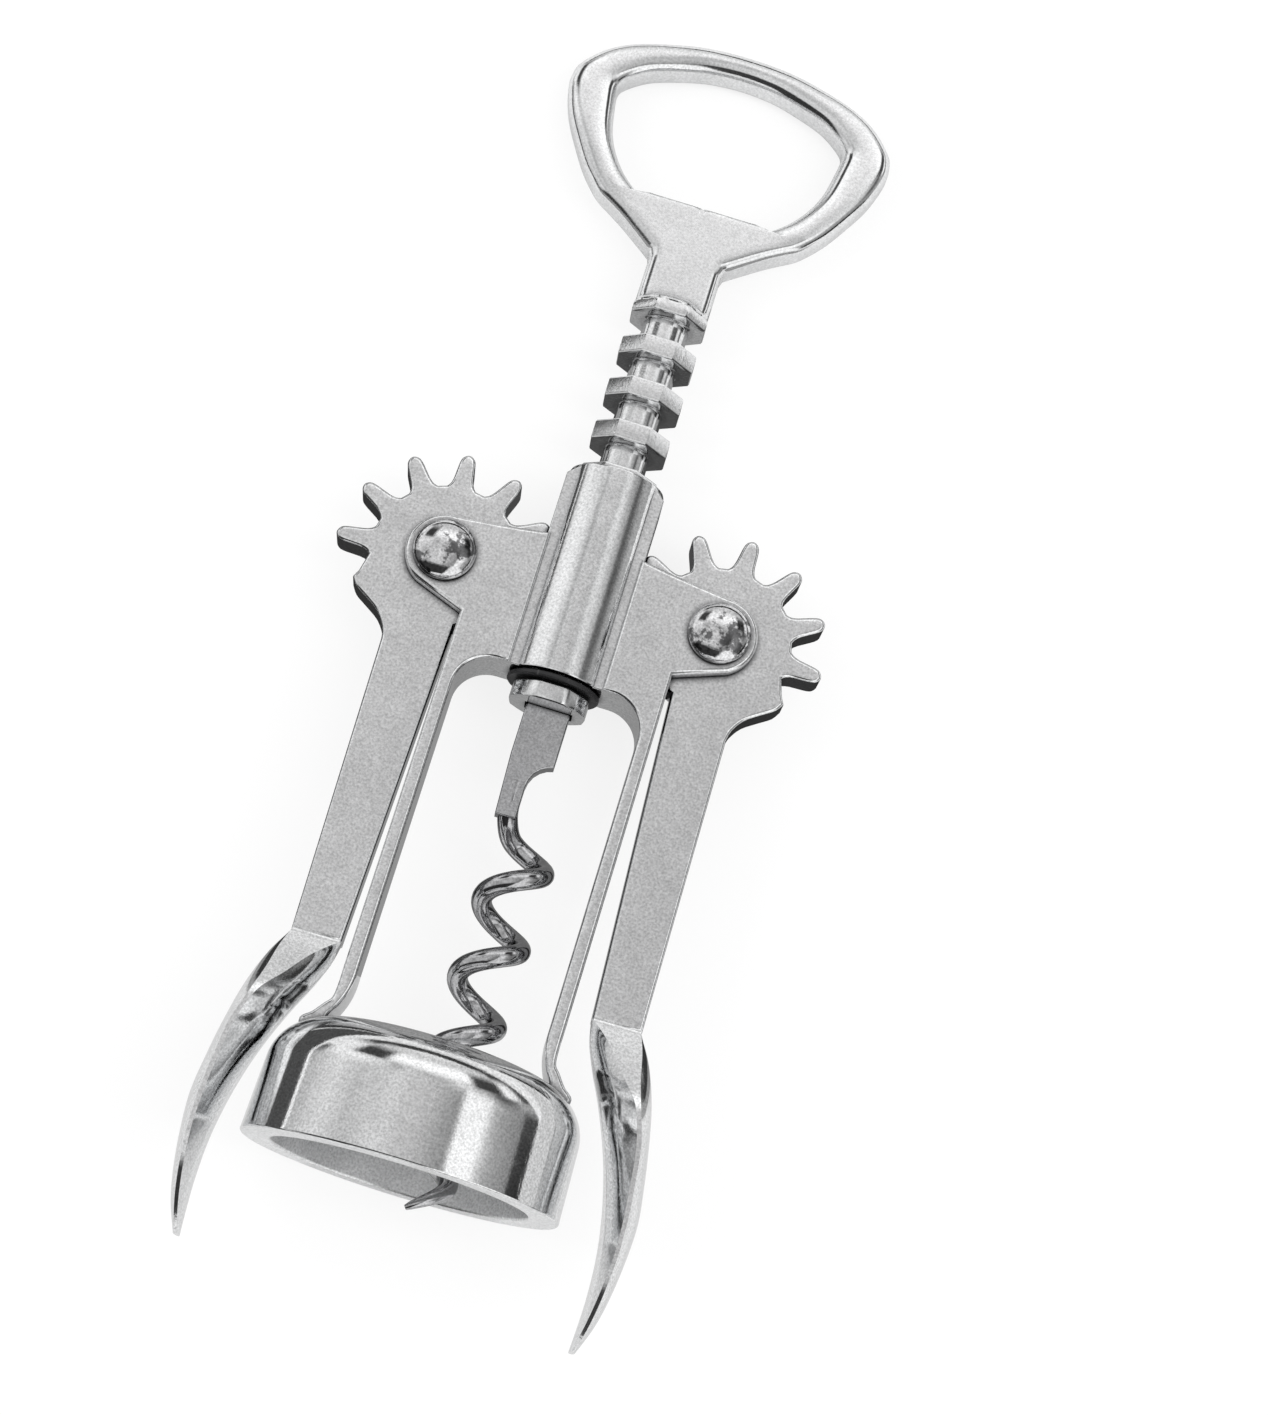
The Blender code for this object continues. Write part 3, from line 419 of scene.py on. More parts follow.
def arc_points(centre, radius, start, end, steps):
    """Points on an arc, angles in degrees, anticlockwise from +X when the end is larger."""
    found = []
    for i in range(steps + 1):
        angle = math.radians(start + (end - start) * i / steps)
        found.append((centre[0] + radius * math.cos(angle), centre[1] + radius * math.sin(angle)))
    return found


def new_piece(name, shape):
    """An object from a bmesh, with its faces turned outwards."""
    bmesh.ops.recalc_face_normals(shape, faces=shape.faces)
    mesh = bpy.data.meshes.new(name)
    shape.to_mesh(mesh)
    shape.free()
    obj = bpy.data.objects.new(name, mesh)
    bpy.context.scene.collection.objects.link(obj)
    return obj


def loft(name, rings, join_ends=False):
    """A skin over rings of points, with a cap at each end, or joined from the last ring to the first."""
    shape = bmesh.new()
    made = [[shape.verts.new(point) for point in ring] for ring in rings]
    for one, other in zip(made, made[1:] + made[:1] if join_ends else made[1:]):
        for i in range(len(one)):
            k = (i + 1) % len(one)
            shape.faces.new((one[i], one[k], other[k], other[i]))
    if not join_ends:
        shape.faces.new(made[0][::-1])
        shape.faces.new(made[-1])
    return new_piece(name, shape)


def circle_angles(count):
    return [2 * math.pi * i / count for i in range(count)]


def turned(name, profile, sides, closed=False):
    """A round piece about Z from its profile in (radius, z)."""
    angles = circle_angles(sides)
    rings = [[(radius * math.cos(a), radius * math.sin(a), z) for a in angles] for radius, z in profile]
    return loft(name, rings, join_ends=closed)


def lay_across(obj, x, z):
    """Turns a piece that was drawn about Z, so that it lies along Y at a place in (x, z)."""
    obj.data.transform(Matrix.Translation((x, 0.0, z)) @ Matrix.Rotation(math.pi / 2, 4, "X"))
    return obj


def cross_rod(name, radius, centre, half_length):
    """A cylinder along Y round a place in (x, z)."""
    return lay_across(turned(name, [(radius, half_length), (radius, -half_length)], ROUND_SIDES), *centre)


def rounded_side(radius, top, low, edge):
    """A straight side in (radius, z) from its top down, with a rounded edge at each end."""
    upper = [(radius - edge * inwards, top - edge * down) for inwards, down in EDGE_ROUND]
    return upper + [(radius - edge * inwards, low + edge * up) for inwards, up in reversed(EDGE_ROUND)]


def worked_out(obj):
    """The mesh of an object with its curve or its Booleans worked out."""
    bpy.context.view_layer.update()
    return bpy.data.meshes.new_from_object(obj.evaluated_get(bpy.context.evaluated_depsgraph_get()))


def plate(name, outlines, half_thickness, edge):
    """A flat piece standing in the XZ plane, from outlines in (x, z), with rounded edges."""
    curve = bpy.data.curves.new(name, "CURVE")
    curve.dimensions = "2D"
    curve.fill_mode = "BOTH"
    curve.extrude = half_thickness - edge
    curve.bevel_depth = edge
    curve.bevel_resolution = 3
    curve.offset = -edge
    for outline in outlines:
        spline = curve.splines.new("POLY")
        spline.points.add(len(outline) - 1)
        for point, (x, z) in zip(spline.points, outline):
            point.co = (x, z, 0.0, 1.0)
        spline.use_cyclic_u = True
    holder = bpy.data.objects.new(name, curve)
    bpy.context.scene.collection.objects.link(holder)
    shape = bmesh.new()
    shape.from_mesh(worked_out(holder))
    bpy.data.objects.remove(holder, do_unlink=True)
    bmesh.ops.rotate(shape, matrix=Matrix.Rotation(math.pi / 2, 3, "X"), verts=shape.verts)
    bmesh.ops.remove_doubles(shape, verts=shape.verts, dist=0.004)
    return new_piece(name, shape)


def combine(obj, others, operation):
    """Joins the other pieces to this one, or cuts them out of it, and removes them."""
    for other in others:
        boolean = obj.modifiers.new(operation.lower(), "BOOLEAN")
        boolean.operation = operation
        boolean.object = other
    mesh = worked_out(obj)
    obj.modifiers.clear()
    obj.data = mesh
    for other in others:
        bpy.data.objects.remove(other, do_unlink=True)


def place_piece(obj, body, nodes, material, smooth=38.0):
    """Lays a piece down in the row frame, shades it, and hands it to its body in place of its CAD nodes."""
    obj.data.transform(TO_ROW @ obj.matrix_world)
    obj.matrix_world = Matrix.Identity(4)
    obj.data.materials.clear()
    obj.data.materials.append(material)
    obj.data.shade_smooth()
    obj.data.set_sharp_from_angle(angle=math.radians(smooth))
    weighted = obj.modifiers.new("even shading", "WEIGHTED_NORMAL")
    weighted.keep_sharp = True
    weighted.weight = 60
    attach(obj, body)
    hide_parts(*nodes)


class Nodes:
    """Adds nodes to a tree and joins them, with a node's own inputs given by name."""

    def __init__(self, tree):
        self.tree = tree

    def add(self, kind, inputs=(), **options):
        node = self.tree.nodes.new(kind)
        for name, value in options.items():
            setattr(node, name, value)
        for name, value in dict(inputs).items():
            if isinstance(value, bpy.types.NodeSocket):
                self.tree.links.new(value, node.inputs[name])
            else:
                node.inputs[name].default_value = value
        return node

    def math(self, operation, a, b=0.0, clamp=False):
        return self.add("ShaderNodeMath", {0: a, 1: b}, operation=operation, use_clamp=clamp).outputs[0]

    def range(self, value, low, high, to_low=0.0, to_high=1.0, curve="LINEAR"):
        ends = {"Value": value, "From Min": low, "From Max": high, "To Min": to_low, "To Max": to_high}
        return self.add("ShaderNodeMapRange", ends, interpolation_type=curve).outputs["Result"]

    def mix(self, amount, a, b):
        return self.add("ShaderNodeMix", {0: amount, 6: a, 7: b}, data_type="RGBA").outputs[2]

    def noise(self, place, scale, detail, roughness=0.5):
        inputs = {"Vector": place, "Scale": scale, "Detail": detail, "Roughness": roughness}
        return self.add("ShaderNodeTexNoise", inputs).outputs["Fac"]

    def surface(self, kind, inputs, end="Material"):
        """The shader that ends a material or a world."""
        shader = self.add(kind, inputs)
        self.add("ShaderNodeOutput" + end, {"Surface": shader.outputs[0]})


def new_group(name, inputs, outputs):
    """A shader node group with its sockets, the helper that fills it and the node with its inputs."""
    group = bpy.data.node_groups.new(name, "ShaderNodeTree")
    for label, value in inputs.items():
        kind = "NodeSocketFloat" if isinstance(value, float) else "NodeSocketVector"
        group.interface.new_socket(name=label, in_out="INPUT", socket_type=kind).default_value = value
    for label in outputs:
        group.interface.new_socket(name=label, in_out="OUTPUT", socket_type="NodeSocketFloat")
    nodes = Nodes(group)
    return group, nodes, nodes.add("NodeGroupInput").outputs


def face_mask_group():
    """White where a surface faces along an axis of the piece, either way, as a ground flat does."""
    group, nodes, entry = new_group("flat faces", {"Axis": tuple(FRONT_AXIS), "Limit": 0.985}, ["Mask"])
    normal = nodes.add("ShaderNodeTexCoord").outputs["Normal"]
    along = nodes.add("ShaderNodeVectorMath", {0: normal, 1: entry["Axis"]}, operation="DOT_PRODUCT")
    size = nodes.math("ABSOLUTE", along.outputs["Value"])
    mask = nodes.range(size, entry["Limit"], 0.9995, curve="SMOOTHSTEP")
    nodes.add("NodeGroupOutput", {"Mask": mask})
    return group


def worked_metal_group():
    """Fine grain, hairline scratches and broad mottling, over the piece's own coordinates in metres."""
    group, nodes, entry = new_group(
        "worked metal",
        {"Grain Scale": 3000.0, "Mottle Scale": 190.0, "Scratch Scale": 900.0, "Scratch Amount": 0.5},
        ["Grain", "Mottle", "Scratches"],
    )
    place = nodes.add("ShaderNodeTexCoord").outputs["Object"]
    grain = nodes.noise(place, entry["Grain Scale"], 3.0, 0.6)
    mottle = nodes.noise(place, entry["Mottle Scale"], 5.0, 0.65)
    hairs = []
    for turn, stretch in (((0.3, 0.2, 0.5), (0.05, 1.0, 1.0)), ((0.1, 0.5, -0.8), (1.0, 0.06, 1.0))):
        drawn_out = nodes.add("ShaderNodeMapping", {"Vector": place, "Rotation": turn, "Scale": stretch})
        hairs.append(nodes.range(nodes.noise(drawn_out.outputs[0], entry["Scratch Scale"], 2.0), 0.66, 0.72))
    both = nodes.math("MAXIMUM", *hairs)
    scratches = nodes.math("MULTIPLY", both, entry["Scratch Amount"])
    nodes.add("NodeGroupOutput", {"Grain": grain, "Mottle": mottle, "Scratches": scratches})
    return group


def corner_shade_group():
    """White in narrow corners and gaps, where painted shade darkens the metal."""
    group, nodes, entry = new_group("painted corner shade", {"Reach": 0.0010, "Amount": 1.0}, ["Mask"])
    open_sky = nodes.add("ShaderNodeAmbientOcclusion", {"Distance": entry["Reach"]}, samples=6)
    shut = nodes.range(open_sky.outputs["AO"], 0.48, 0.92, 1.0, 0.0)
    nodes.add("NodeGroupOutput", {"Mask": nodes.math("MULTIPLY", shut, entry["Amount"])})
    return group


def shared_group(name, maker):
    return bpy.data.node_groups.get(name) or maker()


def new_material(name):
    material = bpy.data.materials.new(name)
    material.use_nodes = True
    material.node_tree.nodes.clear()
    return material, Nodes(material.node_tree)


def use_group(nodes, name, maker, **inputs):
    node = nodes.add("ShaderNodeGroup", node_tree=shared_group(name, maker))
    for label, value in inputs.items():
        node.inputs[label.replace("_", " ")].default_value = value
    return node.outputs


def plated(
    name, polished, satin, painted_shade, gloss, satin_gloss, bump, flats=True, edge_shade_amount=0.6,
    edge_shade_start=0.72, grain_amount=0.30, reach=0.0010, mottle_scale=190.0, reflection_blotches=0.0,
):
    """Chrome plating: bright on its rounds, satin on its ground flats, with painted shade in its corners and
    on faces seen edge-on.
    """
    material, nodes = new_material(name)
    worked = use_group(nodes, "worked metal", worked_metal_group, Mottle_Scale=mottle_scale)
    # Painted shade in narrow corners and gaps, found by ambient occlusion
    corner_shade = use_group(nodes, "painted corner shade", corner_shade_group, Reach=reach)["Mask"]
    mottle = worked["Mottle"]
    grain = worked["Grain"]
    if flats:
        mask = use_group(nodes, "flat faces", face_mask_group)["Mask"]
    else:
        mask = nodes.range(mottle, 0.0, 1.0, 0.0, 0.15)
    base = nodes.mix(mask, (*polished, 1.0), (*satin, 1.0))
    tone = nodes.range(mottle, NOISE_LOW, NOISE_HIGH, 0.92, 1.05)
    speckle = nodes.range(grain, NOISE_LOW, NOISE_HIGH, 1.0 - grain_amount, 1.0 + grain_amount * 0.7)
    fine_tone = nodes.math("MULTIPLY", speckle, tone)
    shaded = nodes.add("ShaderNodeVectorMath", {0: base, 3: fine_tone}, operation="SCALE").outputs[0]
    # Painted shade where a face is seen edge-on: a dark line along the metal's rims
    edge_on = nodes.add("ShaderNodeLayerWeight", {"Blend": 0.5}).outputs["Facing"]
    outline = nodes.range(edge_on, edge_shade_start, 0.97, 0.0, edge_shade_amount)
    shade_amount = nodes.math("MAXIMUM", corner_shade, outline)
    # Random dark blotches, painted in as dark reflections
    if reflection_blotches:
        shade_amount = nodes.math("MAXIMUM", shade_amount, nodes.range(mottle, 0.50, 0.55, 0.0, reflection_blotches))
    rough = nodes.range(mask, 0.0, 1.0, gloss, satin_gloss)
    scratched = nodes.math("MULTIPLY", worked["Scratches"], 0.10)
    uneven = nodes.math("MULTIPLY", nodes.math("SUBTRACT", mottle, 0.5), 0.10)
    spread = nodes.math("ADD", uneven, scratched)
    height = nodes.math("SUBTRACT", nodes.math("ADD", grain, mottle), worked["Scratches"])
    normal = nodes.add("ShaderNodeBump", {"Strength": bump, "Distance": 0.00002, "Height": height})
    nodes.surface(
        "ShaderNodeBsdfPrincipled",
        {
            "Base Color": nodes.mix(shade_amount, shaded, (*painted_shade, 1.0)),
            "Metallic": 1.0,
            "Roughness": nodes.math("ADD", rough, spread, clamp=True),
            "Normal": normal.outputs[0],
        },
    )
    return material


def blackened(name, tint):
    """The washer's black fibre, matt with a rubbed face."""
    material, nodes = new_material(name)
    worked = use_group(nodes, "worked metal", worked_metal_group, Grain_Scale=5200.0, Scratch_Amount=0.8)
    rubbed = nodes.math("MULTIPLY", worked["Scratches"], 0.5)
    base = nodes.mix(rubbed, (*tint, 1.0), (0.09, 0.09, 0.09, 1.0))
    roughness = nodes.range(worked["Mottle"], NOISE_LOW, NOISE_HIGH, 0.35, 0.6)
    normal = nodes.add("ShaderNodeBump", {"Strength": 0.5, "Distance": 0.00004, "Height": worked["Grain"]})
    nodes.surface(
        "ShaderNodeBsdfPrincipled", {"Base Color": base, "Roughness": roughness, "Normal": normal.outputs[0]}
    )
    return material


def bell_profile(s):
    """The bell's wall as a closed section in (radius, z), from the crown's hole over the outside."""

    def shoulder(side_wall, crown_wall):
        across = s.side_radius - s.crown_radius - side_wall
        up = s.bell_height - s.side_height - crown_wall
        angles = [math.pi / 2 * i / SHOULDER_STEPS for i in range(SHOULDER_STEPS + 1)]
        return [(s.crown_radius + across * math.sin(a), s.side_height + up * math.cos(a)) for a in angles]

    soft = BELL_EDGE
    spread = s.rim_radius - s.side_radius
    hole_top = arc_points((s.crown_hole + soft, s.bell_height - soft), soft, 180.0, 90.0, 4)
    side = [(s.side_radius + spread * t, s.side_height * (1 - t)) for t in SIDE_PLACES]
    rim = arc_points((s.rim_radius - soft, soft), soft, 0.0, -90.0, 5)
    flat_end = s.rim_radius - s.rim_flat
    lip = [(flat_end + out, up) for out, up in LIP] + [(s.rim_radius - s.bell_wall, LIP_HEIGHT)]
    inside = shoulder(s.bell_wall, s.crown_wall)[::-1]
    ceiling = s.bell_height - s.crown_wall
    hole_low = [(s.crown_hole + soft, ceiling), (s.crown_hole, ceiling + soft)]
    return hole_top + shoulder(0.0, 0.0) + side + rim + lip + inside + hole_low


def yoke_half(s, levers):
    """The right rail, arch and ear in (x, z), anticlockwise from the foot's inner end."""
    spread = s.foot_spread
    foot = s.bell_height - FOOT_DEPTH
    outer, inner = s.rail_outer, s.rail_inner
    outside = [
        (outer + spread * 0.85, foot - FOOT_DEPTH * 0.3),
        (outer + spread, foot + FOOT_DEPTH * 0.5),
        (outer + spread * 0.62, s.bell_height),
        (outer + spread * 0.28, s.bell_height + spread * 0.45),
        (outer + spread * 0.06, s.foot_start - spread * 0.3),
        (outer, s.foot_start + spread * 0.2),
        (outer, s.foot_start + spread),
    ]
    inside = [
        (inner, s.foot_start + spread * 1.2),
        (inner, s.foot_start + spread * 0.6),
        (inner + spread * 0.1, s.foot_start),
        (inner + spread * 0.33, s.foot_start - spread * 0.6),
        (inner + spread * 0.58, s.bell_height),
        (inner + spread * 0.65, foot),
    ]
    ear = arc_points((levers.pivot_offset, levers.pivot_height), s.ear_radius, *EAR_ROUND, 36)
    corner = (inner - s.arch_corner, s.arch_height - s.arch_corner)
    middle = s.slab_half_width - ARCH_INSET
    arch = [(middle, s.arch_height)] + arc_points(corner, s.arch_corner, 90.0, 0.0, 20)
    top = smooth_points([ear[-1], (EAR_DIP[0], s.ear_top - EAR_DIP[1]), (middle, s.ear_top)], 4)[1:]
    underside = [(outer, s.ear_underside)]
    return smooth_points(outside, 4) + underside + ear + top + arch + smooth_points(inside, 4)


def tooth(direction, s):
    """One tooth of the gear pointing in a direction, in (x, z) about the pivot, anticlockwise."""
    depth = s.tip_radius - s.root_radius
    flank = [(s.root_radius + depth * out, s.tooth_base * wide) for out, wide in TOOTH_FLANK]
    outline = smooth_points([(x, -z) for x, z in flank] + flank[::-1], 2)
    along, across = math.cos(math.radians(direction)), math.sin(math.radians(direction))
    return [(x * along - z * across, x * across + z * along) for x, z in outline]


def lever_outline(s, lean):
    """The gear and arm of the right lever about its pivot, anticlockwise from the foot of its outer edge."""
    stub = [(x * s.tip_radius, z * s.tip_radius) for x, z in STUB]
    shoulder = (s.arm_outer_gear, stub[0][1] - s.arm_outer_gear / 3)
    points = [(s.arm_outer_end, -s.arm_length)] + smooth_points([shoulder] + stub, 3, corners=(5,))
    rack_side = 180.0 - math.degrees(s.tooth_phase) - lean
    step = 360.0 / TOOTH_TURNS
    for i in reversed(range(TOOTH_COUNT)):
        points += tooth(rack_side - i * step, s)
    meet = math.degrees(math.asin(s.arm_inner_gear / s.root_radius))
    points += arc_points((0.0, 0.0), s.root_radius, rack_side + step / 2, 270.0 - meet, 12)
    points.append((-s.arm_inner_end, -s.arm_length))
    return points


def wing_ring(row, s):
    """One section of the right wing: a bowed face inside and outside, and a narrow edge at front and back."""
    along, *places, breadth = row
    keel_in, edge_in, edge_out, keel_out = (place * s.wing_sweep - s.arm_inner_end for place in places)
    half = breadth * s.wing_half_breadth
    height = -s.arm_length - along * s.wing_length

    def face(keel, edge, direction):
        bow = [(keel + (edge - keel) * drop, wide * half) for wide, drop in WING_BOW]
        front = bow + [(edge, half)]
        run = [(x, -y) for x, y in reversed(front)] + [(keel, 0.0)] + front
        return smooth_points(run, 4)[::direction]

    return [(x, y, height) for x, y in face(keel_in, edge_in, -1) + face(keel_out, edge_out, 1)]


def make_wing(s):
    rings = [wing_ring(row, s) for row in smooth_points(WING_ROWS, 5)]
    rings.insert(0, [(x, y, z + OVERRUN) for x, y, z in rings[0]])
    return loft("wing", rings)


def make_lever(name, side, s):
    lean = side * math.degrees(s.lean)
    body = plate(name, [lever_outline(s, lean)], s.thickness / 2, s.edge)
    combine(body, [make_wing(s)], "UNION")
    combine(body, [cross_rod("hole", s.shank_radius + HOLE_GAP, (0.0, 0.0), s.thickness)], "DIFFERENCE")
    if side < 0:
        body.data.transform(Matrix.Scale(-1.0, 4, (1.0, 0.0, 0.0)))
        body.data.flip_normals()
    place = Matrix.Translation((side * s.pivot_offset, 0.0, s.pivot_height))
    body.data.transform(place @ Matrix.Rotation(-side * math.radians(lean), 4, "Y"))
    return body


def octagon_ring(half_width, height, roundness, count=64):
    """A ring of points round Z: an octagon with a flat to the front, drawn towards a circle by roundness."""
    ring = []
    for angle in circle_angles(count):
        off = (angle + math.pi / 8) % (math.pi / 4) - math.pi / 8
        flat = half_width / math.cos(off)
        radius = flat + (half_width - flat) * roundness
        ring.append((radius * math.cos(angle), radius * math.sin(angle), height))
    return ring


def rack_rings(s):
    """The rack's sections from the top of its head down to the collar."""
    wide = s.disc_half_width
    head_top = s.head_bottom + s.head_height
    rings = []
    for i in range(1, HEAD_STEPS + 1):
        angle = math.pi / 2 * i / HEAD_STEPS
        height = head_top + s.head_dome * math.cos(angle)
        rings.append(octagon_ring(wide * math.sin(angle), height, HEAD_ROUNDNESS))
    lows = [s.lowest_disc + i * s.rack_pitch for i in range(7, -1, -1)]
    heights = [(s.head_bottom, head_top)] + [(low, low + s.disc_height) for low in lows]
    heights.append((s.collar_bottom, s.collar_top))
    last = len(heights) - 1
    for number, (low, high) in enumerate(heights):
        roundness = COLLAR_ROUNDNESS if number == last else 0.0
        side = rounded_side(wide, high, low, s.disc_edge)
        above = [(s.core_radius + out, high + gap) for out, gap in reversed(CORE_FILLET)]
        below = [(s.core_radius + out, low - gap) for out, gap in CORE_FILLET]
        if number:
            rings += [octagon_ring(radius, height, 1.0) for radius, height in above]
        rings += [octagon_ring(radius, height, roundness) for radius, height in side[0 if number else 1 :]]
        if number < last:
            rings += [octagon_ring(radius, height, 1.0) for radius, height in below]
    return rings


def ring_plate(s):
    """The ring handle and its neck: a crowned plate with round edges, drawn from its outline to its hole."""
    steps = 4
    outlines = []
    for half, corners in ((RING_OUTSIDE, RING_CORNERS), (RING_INSIDE, HOLE_CORNERS)):
        whole = list(half) + mirrored(half[:-1])
        last = len(whole) - 1
        outlines.append(smooth_points(whole, steps, [c for k in corners for c in (k, last - k)]))
    last_row = len(outlines[0]) - 1
    first_hole = HOLE_START * steps
    last_hole = last_row - first_hole
    edge = s.ring_edge
    rounds = [edge * (1.0 - math.cos(math.radians(a))) for a in range(0, 91, 18)]
    shape = bmesh.new()

    def height_at(gap, crown):
        top = s.ring_half_depth - crown * (1.0 - min(1.0, gap / CROWN_REACH)) ** 2
        if gap < edge:
            top -= edge - math.sqrt(max(0.0, edge**2 - (edge - gap) ** 2))
        return top

    rows = []
    for k, (outer, inner) in enumerate(zip(*outlines)):
        outer, inner = Vector(outer), Vector(inner)
        width = (inner - outer).length
        hole = first_hole <= k <= last_hole
        rise = min(1.0, max(0.0, (min(k, last_row - k) - first_hole) / (CROWN_START * steps)))
        crown = s.ring_crown * rise * rise * (3.0 - 2.0 * rise)
        reach = width - edge if hole else width
        middle = [edge + (reach - edge) * t for t in PLATE_PLACES]
        if hole:
            ends = [width - r for r in reversed(rounds)]
        else:
            ends = [width - 0.5 * (width - middle[-1]) * t for t in MIDDLE_PLACES]
        row = []
        for gap in rounds + middle + ends:
            x, z = outer + (inner - outer) * (gap / width)
            top = height_at(min(gap, width - gap) if hole else gap, crown)
            row.append((shape.verts.new((x, -top, z)), shape.verts.new((x, top, z))))
        rows.append(row)
    for k, (row, after) in enumerate(zip(rows, rows[1:])):
        for one, other, next_one, next_other in zip(row, row[1:], after, after[1:]):
            shape.faces.new((one[0], other[0], next_other[0], next_one[0]))
            shape.faces.new((other[1], one[1], next_one[1], next_other[1]))
        shape.faces.new((row[0][0], after[0][0], after[0][1], row[0][1]))
        if first_hole <= k < last_hole:
            shape.faces.new((row[-1][0], row[-1][1], after[-1][1], after[-1][0]))
    bmesh.ops.remove_doubles(shape, verts=shape.verts, dist=0.003)
    bmesh.ops.holes_fill(shape, edges=[rim for rim in shape.edges if rim.is_boundary], sides=0)
    return new_piece("ring", shape)


def wire_tube(name, points, radii, sides):
    """A round wire along a path, with its radius at each point."""
    places = [Vector(point) for point in points]
    around = zip(places[:1] + places, places[1:] + places[-1:])
    tangents = [(after - before).normalized() for before, after in around]
    across = tangents[0].orthogonal().normalized()
    rings = []
    for place, tangent, radius in zip(places, tangents, radii):
        across = (across - tangent * across.dot(tangent)).normalized()
        up = tangent.cross(across)
        angles = circle_angles(sides)
        rings.append([place + across * (radius * math.cos(a)) + up * (radius * math.sin(a)) for a in angles])
    return loft(name, rings)


def worm_fall(s, turn):
    """How far the wire has come down at a turn: the last turns close up, then the point stretches."""
    run = max(0.0, (turn - s.worm_closing) / (s.worm_turns - s.worm_closing))
    return s.worm_pitch * (turn - CLOSING_AMOUNT * run * run * (CLOSING_EVEN - run))


def worm_path(s):
    """Points along the wire, from inside the tang to the tip, with the wire's radius at each."""
    lead = [
        (s.worm_offset + across * s.worm_radius, back * s.worm_radius, s.worm_start + up * s.worm_pitch)
        for across, back, up in WIRE_LEAD
    ]
    turns = s.worm_turns - FIRST_TURN
    count = round(turns * WIRE_STEPS)
    coil = []
    for i in range(count + 1):
        turn = FIRST_TURN + turns * i / count
        angle = 2 * math.pi * turn
        x = s.worm_offset + s.worm_radius * math.cos(angle)
        coil.append((x, -s.worm_radius * math.sin(angle), s.worm_start - worm_fall(s, turn)))
    points = smooth_points(lead + [coil[0], coil[3]], 8)[:-8] + coil
    radii = []
    for i in range(len(points)):
        left = min(1.0, (len(points) - 1 - i) / (TAPER_TURNS * WIRE_STEPS))
        radii.append(s.wire_radius * (TIP_SHARE + (1.0 - TIP_SHARE) * left**TAPER_BULGE))
    return points, radii


class CORKSCREW_OT_add_casting(bpy.types.Operator):
    """Builds the bell, the yoke and the barrel as one casting"""

    bl_idname = "corkscrew.add_casting"
    bl_label = "Add Casting"

    def execute(self, context):
        s, colours = settings(context, "casting")
        levers, _ = settings(context, "levers")
        half = yoke_half(s, levers)
        low, high, wide = s.arch_height, s.barrel_top, s.slab_half_width
        body = turned("casting", bell_profile(s), BELL_SIDES, closed=True)
        right = plate("right yoke", [half], s.half_depth, s.edge)
        left = plate("left yoke", [mirrored(half)], s.half_depth, s.edge)
        slab_right = [(wide, low), (wide, high - s.slab_corner), (wide - s.slab_corner, high)]
        slab = plate("slab", [slab_right + mirrored(slab_right)], s.slab_half_depth, SLAB_EDGE)
        barrel = turned("barrel", rounded_side(s.barrel_radius, high, low, BARREL_EDGE), BARREL_SIDES)
        combine(body, [right, left, slab, barrel], "UNION")
        bore = [(s.barrel_bore, high + OVERRUN), (s.barrel_bore, low - OVERRUN)]
        cutters = [turned("bore", bore, ROUND_SIDES)]
        for side, _ in SIDES:
            place = (side * levers.pivot_offset, levers.pivot_height)
            cutters.append(cross_rod("slot", s.slot_radius, place, s.slot_half_depth))
        combine(body, cutters, "DIFFERENCE")
        material = plated("cast chrome", colours.polished, colours.satin, colours.painted_shade, 0.07, 0.30, 0.25)
        place_piece(body, "frame", ["frame_body"], material)
        self.dull_inside(body.data, s, colours)
        return {"FINISHED"}

    def dull_inside(self, mesh, s, colours):
        """Leaves the inside of the bell and the flat of its rim as the plating left them, without polish."""
        dull = plated(
            "dull bell inside", colours.polished, colours.polished, colours.painted_shade, 0.38, 0.42, 0.5,
            flats=False, edge_shade_amount=0.0,
        )
        mesh.materials.append(dull)
        to_tool = TO_ROW.inverted()
        inside = s.side_radius - s.bell_wall + DULL_WALL
        ceiling = s.bell_height - s.crown_wall + DULL_CEILING
        flat = s.rim_radius - DULL_RIM
        for face in mesh.polygons:
            centre = to_tool @ face.center
            radius = math.hypot(centre.x, centre.y)
            on_rim = radius < flat and centre.z < DULL_RIM_HEIGHT
            if on_rim or (radius < inside and centre.z < ceiling):
                face.material_index = 1


class CORKSCREW_OT_add_handle(bpy.types.Operator):
    """Builds the ring handle with its neck, rack and collar"""

    bl_idname = "corkscrew.add_handle"
    bl_label = "Add Handle and Rack"

    def execute(self, context):
        s, colours = settings(context, "spindle")
        body = loft("handle", rack_rings(s))
        combine(body, [ring_plate(s)], "UNION")
        left, right = SOCKET_SIDES
        low, high = s.collar_bottom - OVERRUN, s.collar_bottom + SOCKET_DEPTH
        outline = [(left, low), (right, low), (right, high), (left, high)]
        socket = plate("socket", [outline], s.tang_half_thickness + SOCKET_GAP, SOCKET_EDGE)
        combine(body, [socket], "DIFFERENCE")
        material = plated(
            "handle chrome", colours.polished, colours.satin, colours.painted_shade, 0.10, 0.24, 0.3,
            edge_shade_amount=0.3, grain_amount=0.20, reach=0.0011,
        )
        place_piece(body, "spindle", ["handle_rack"], material)
        return {"FINISHED"}


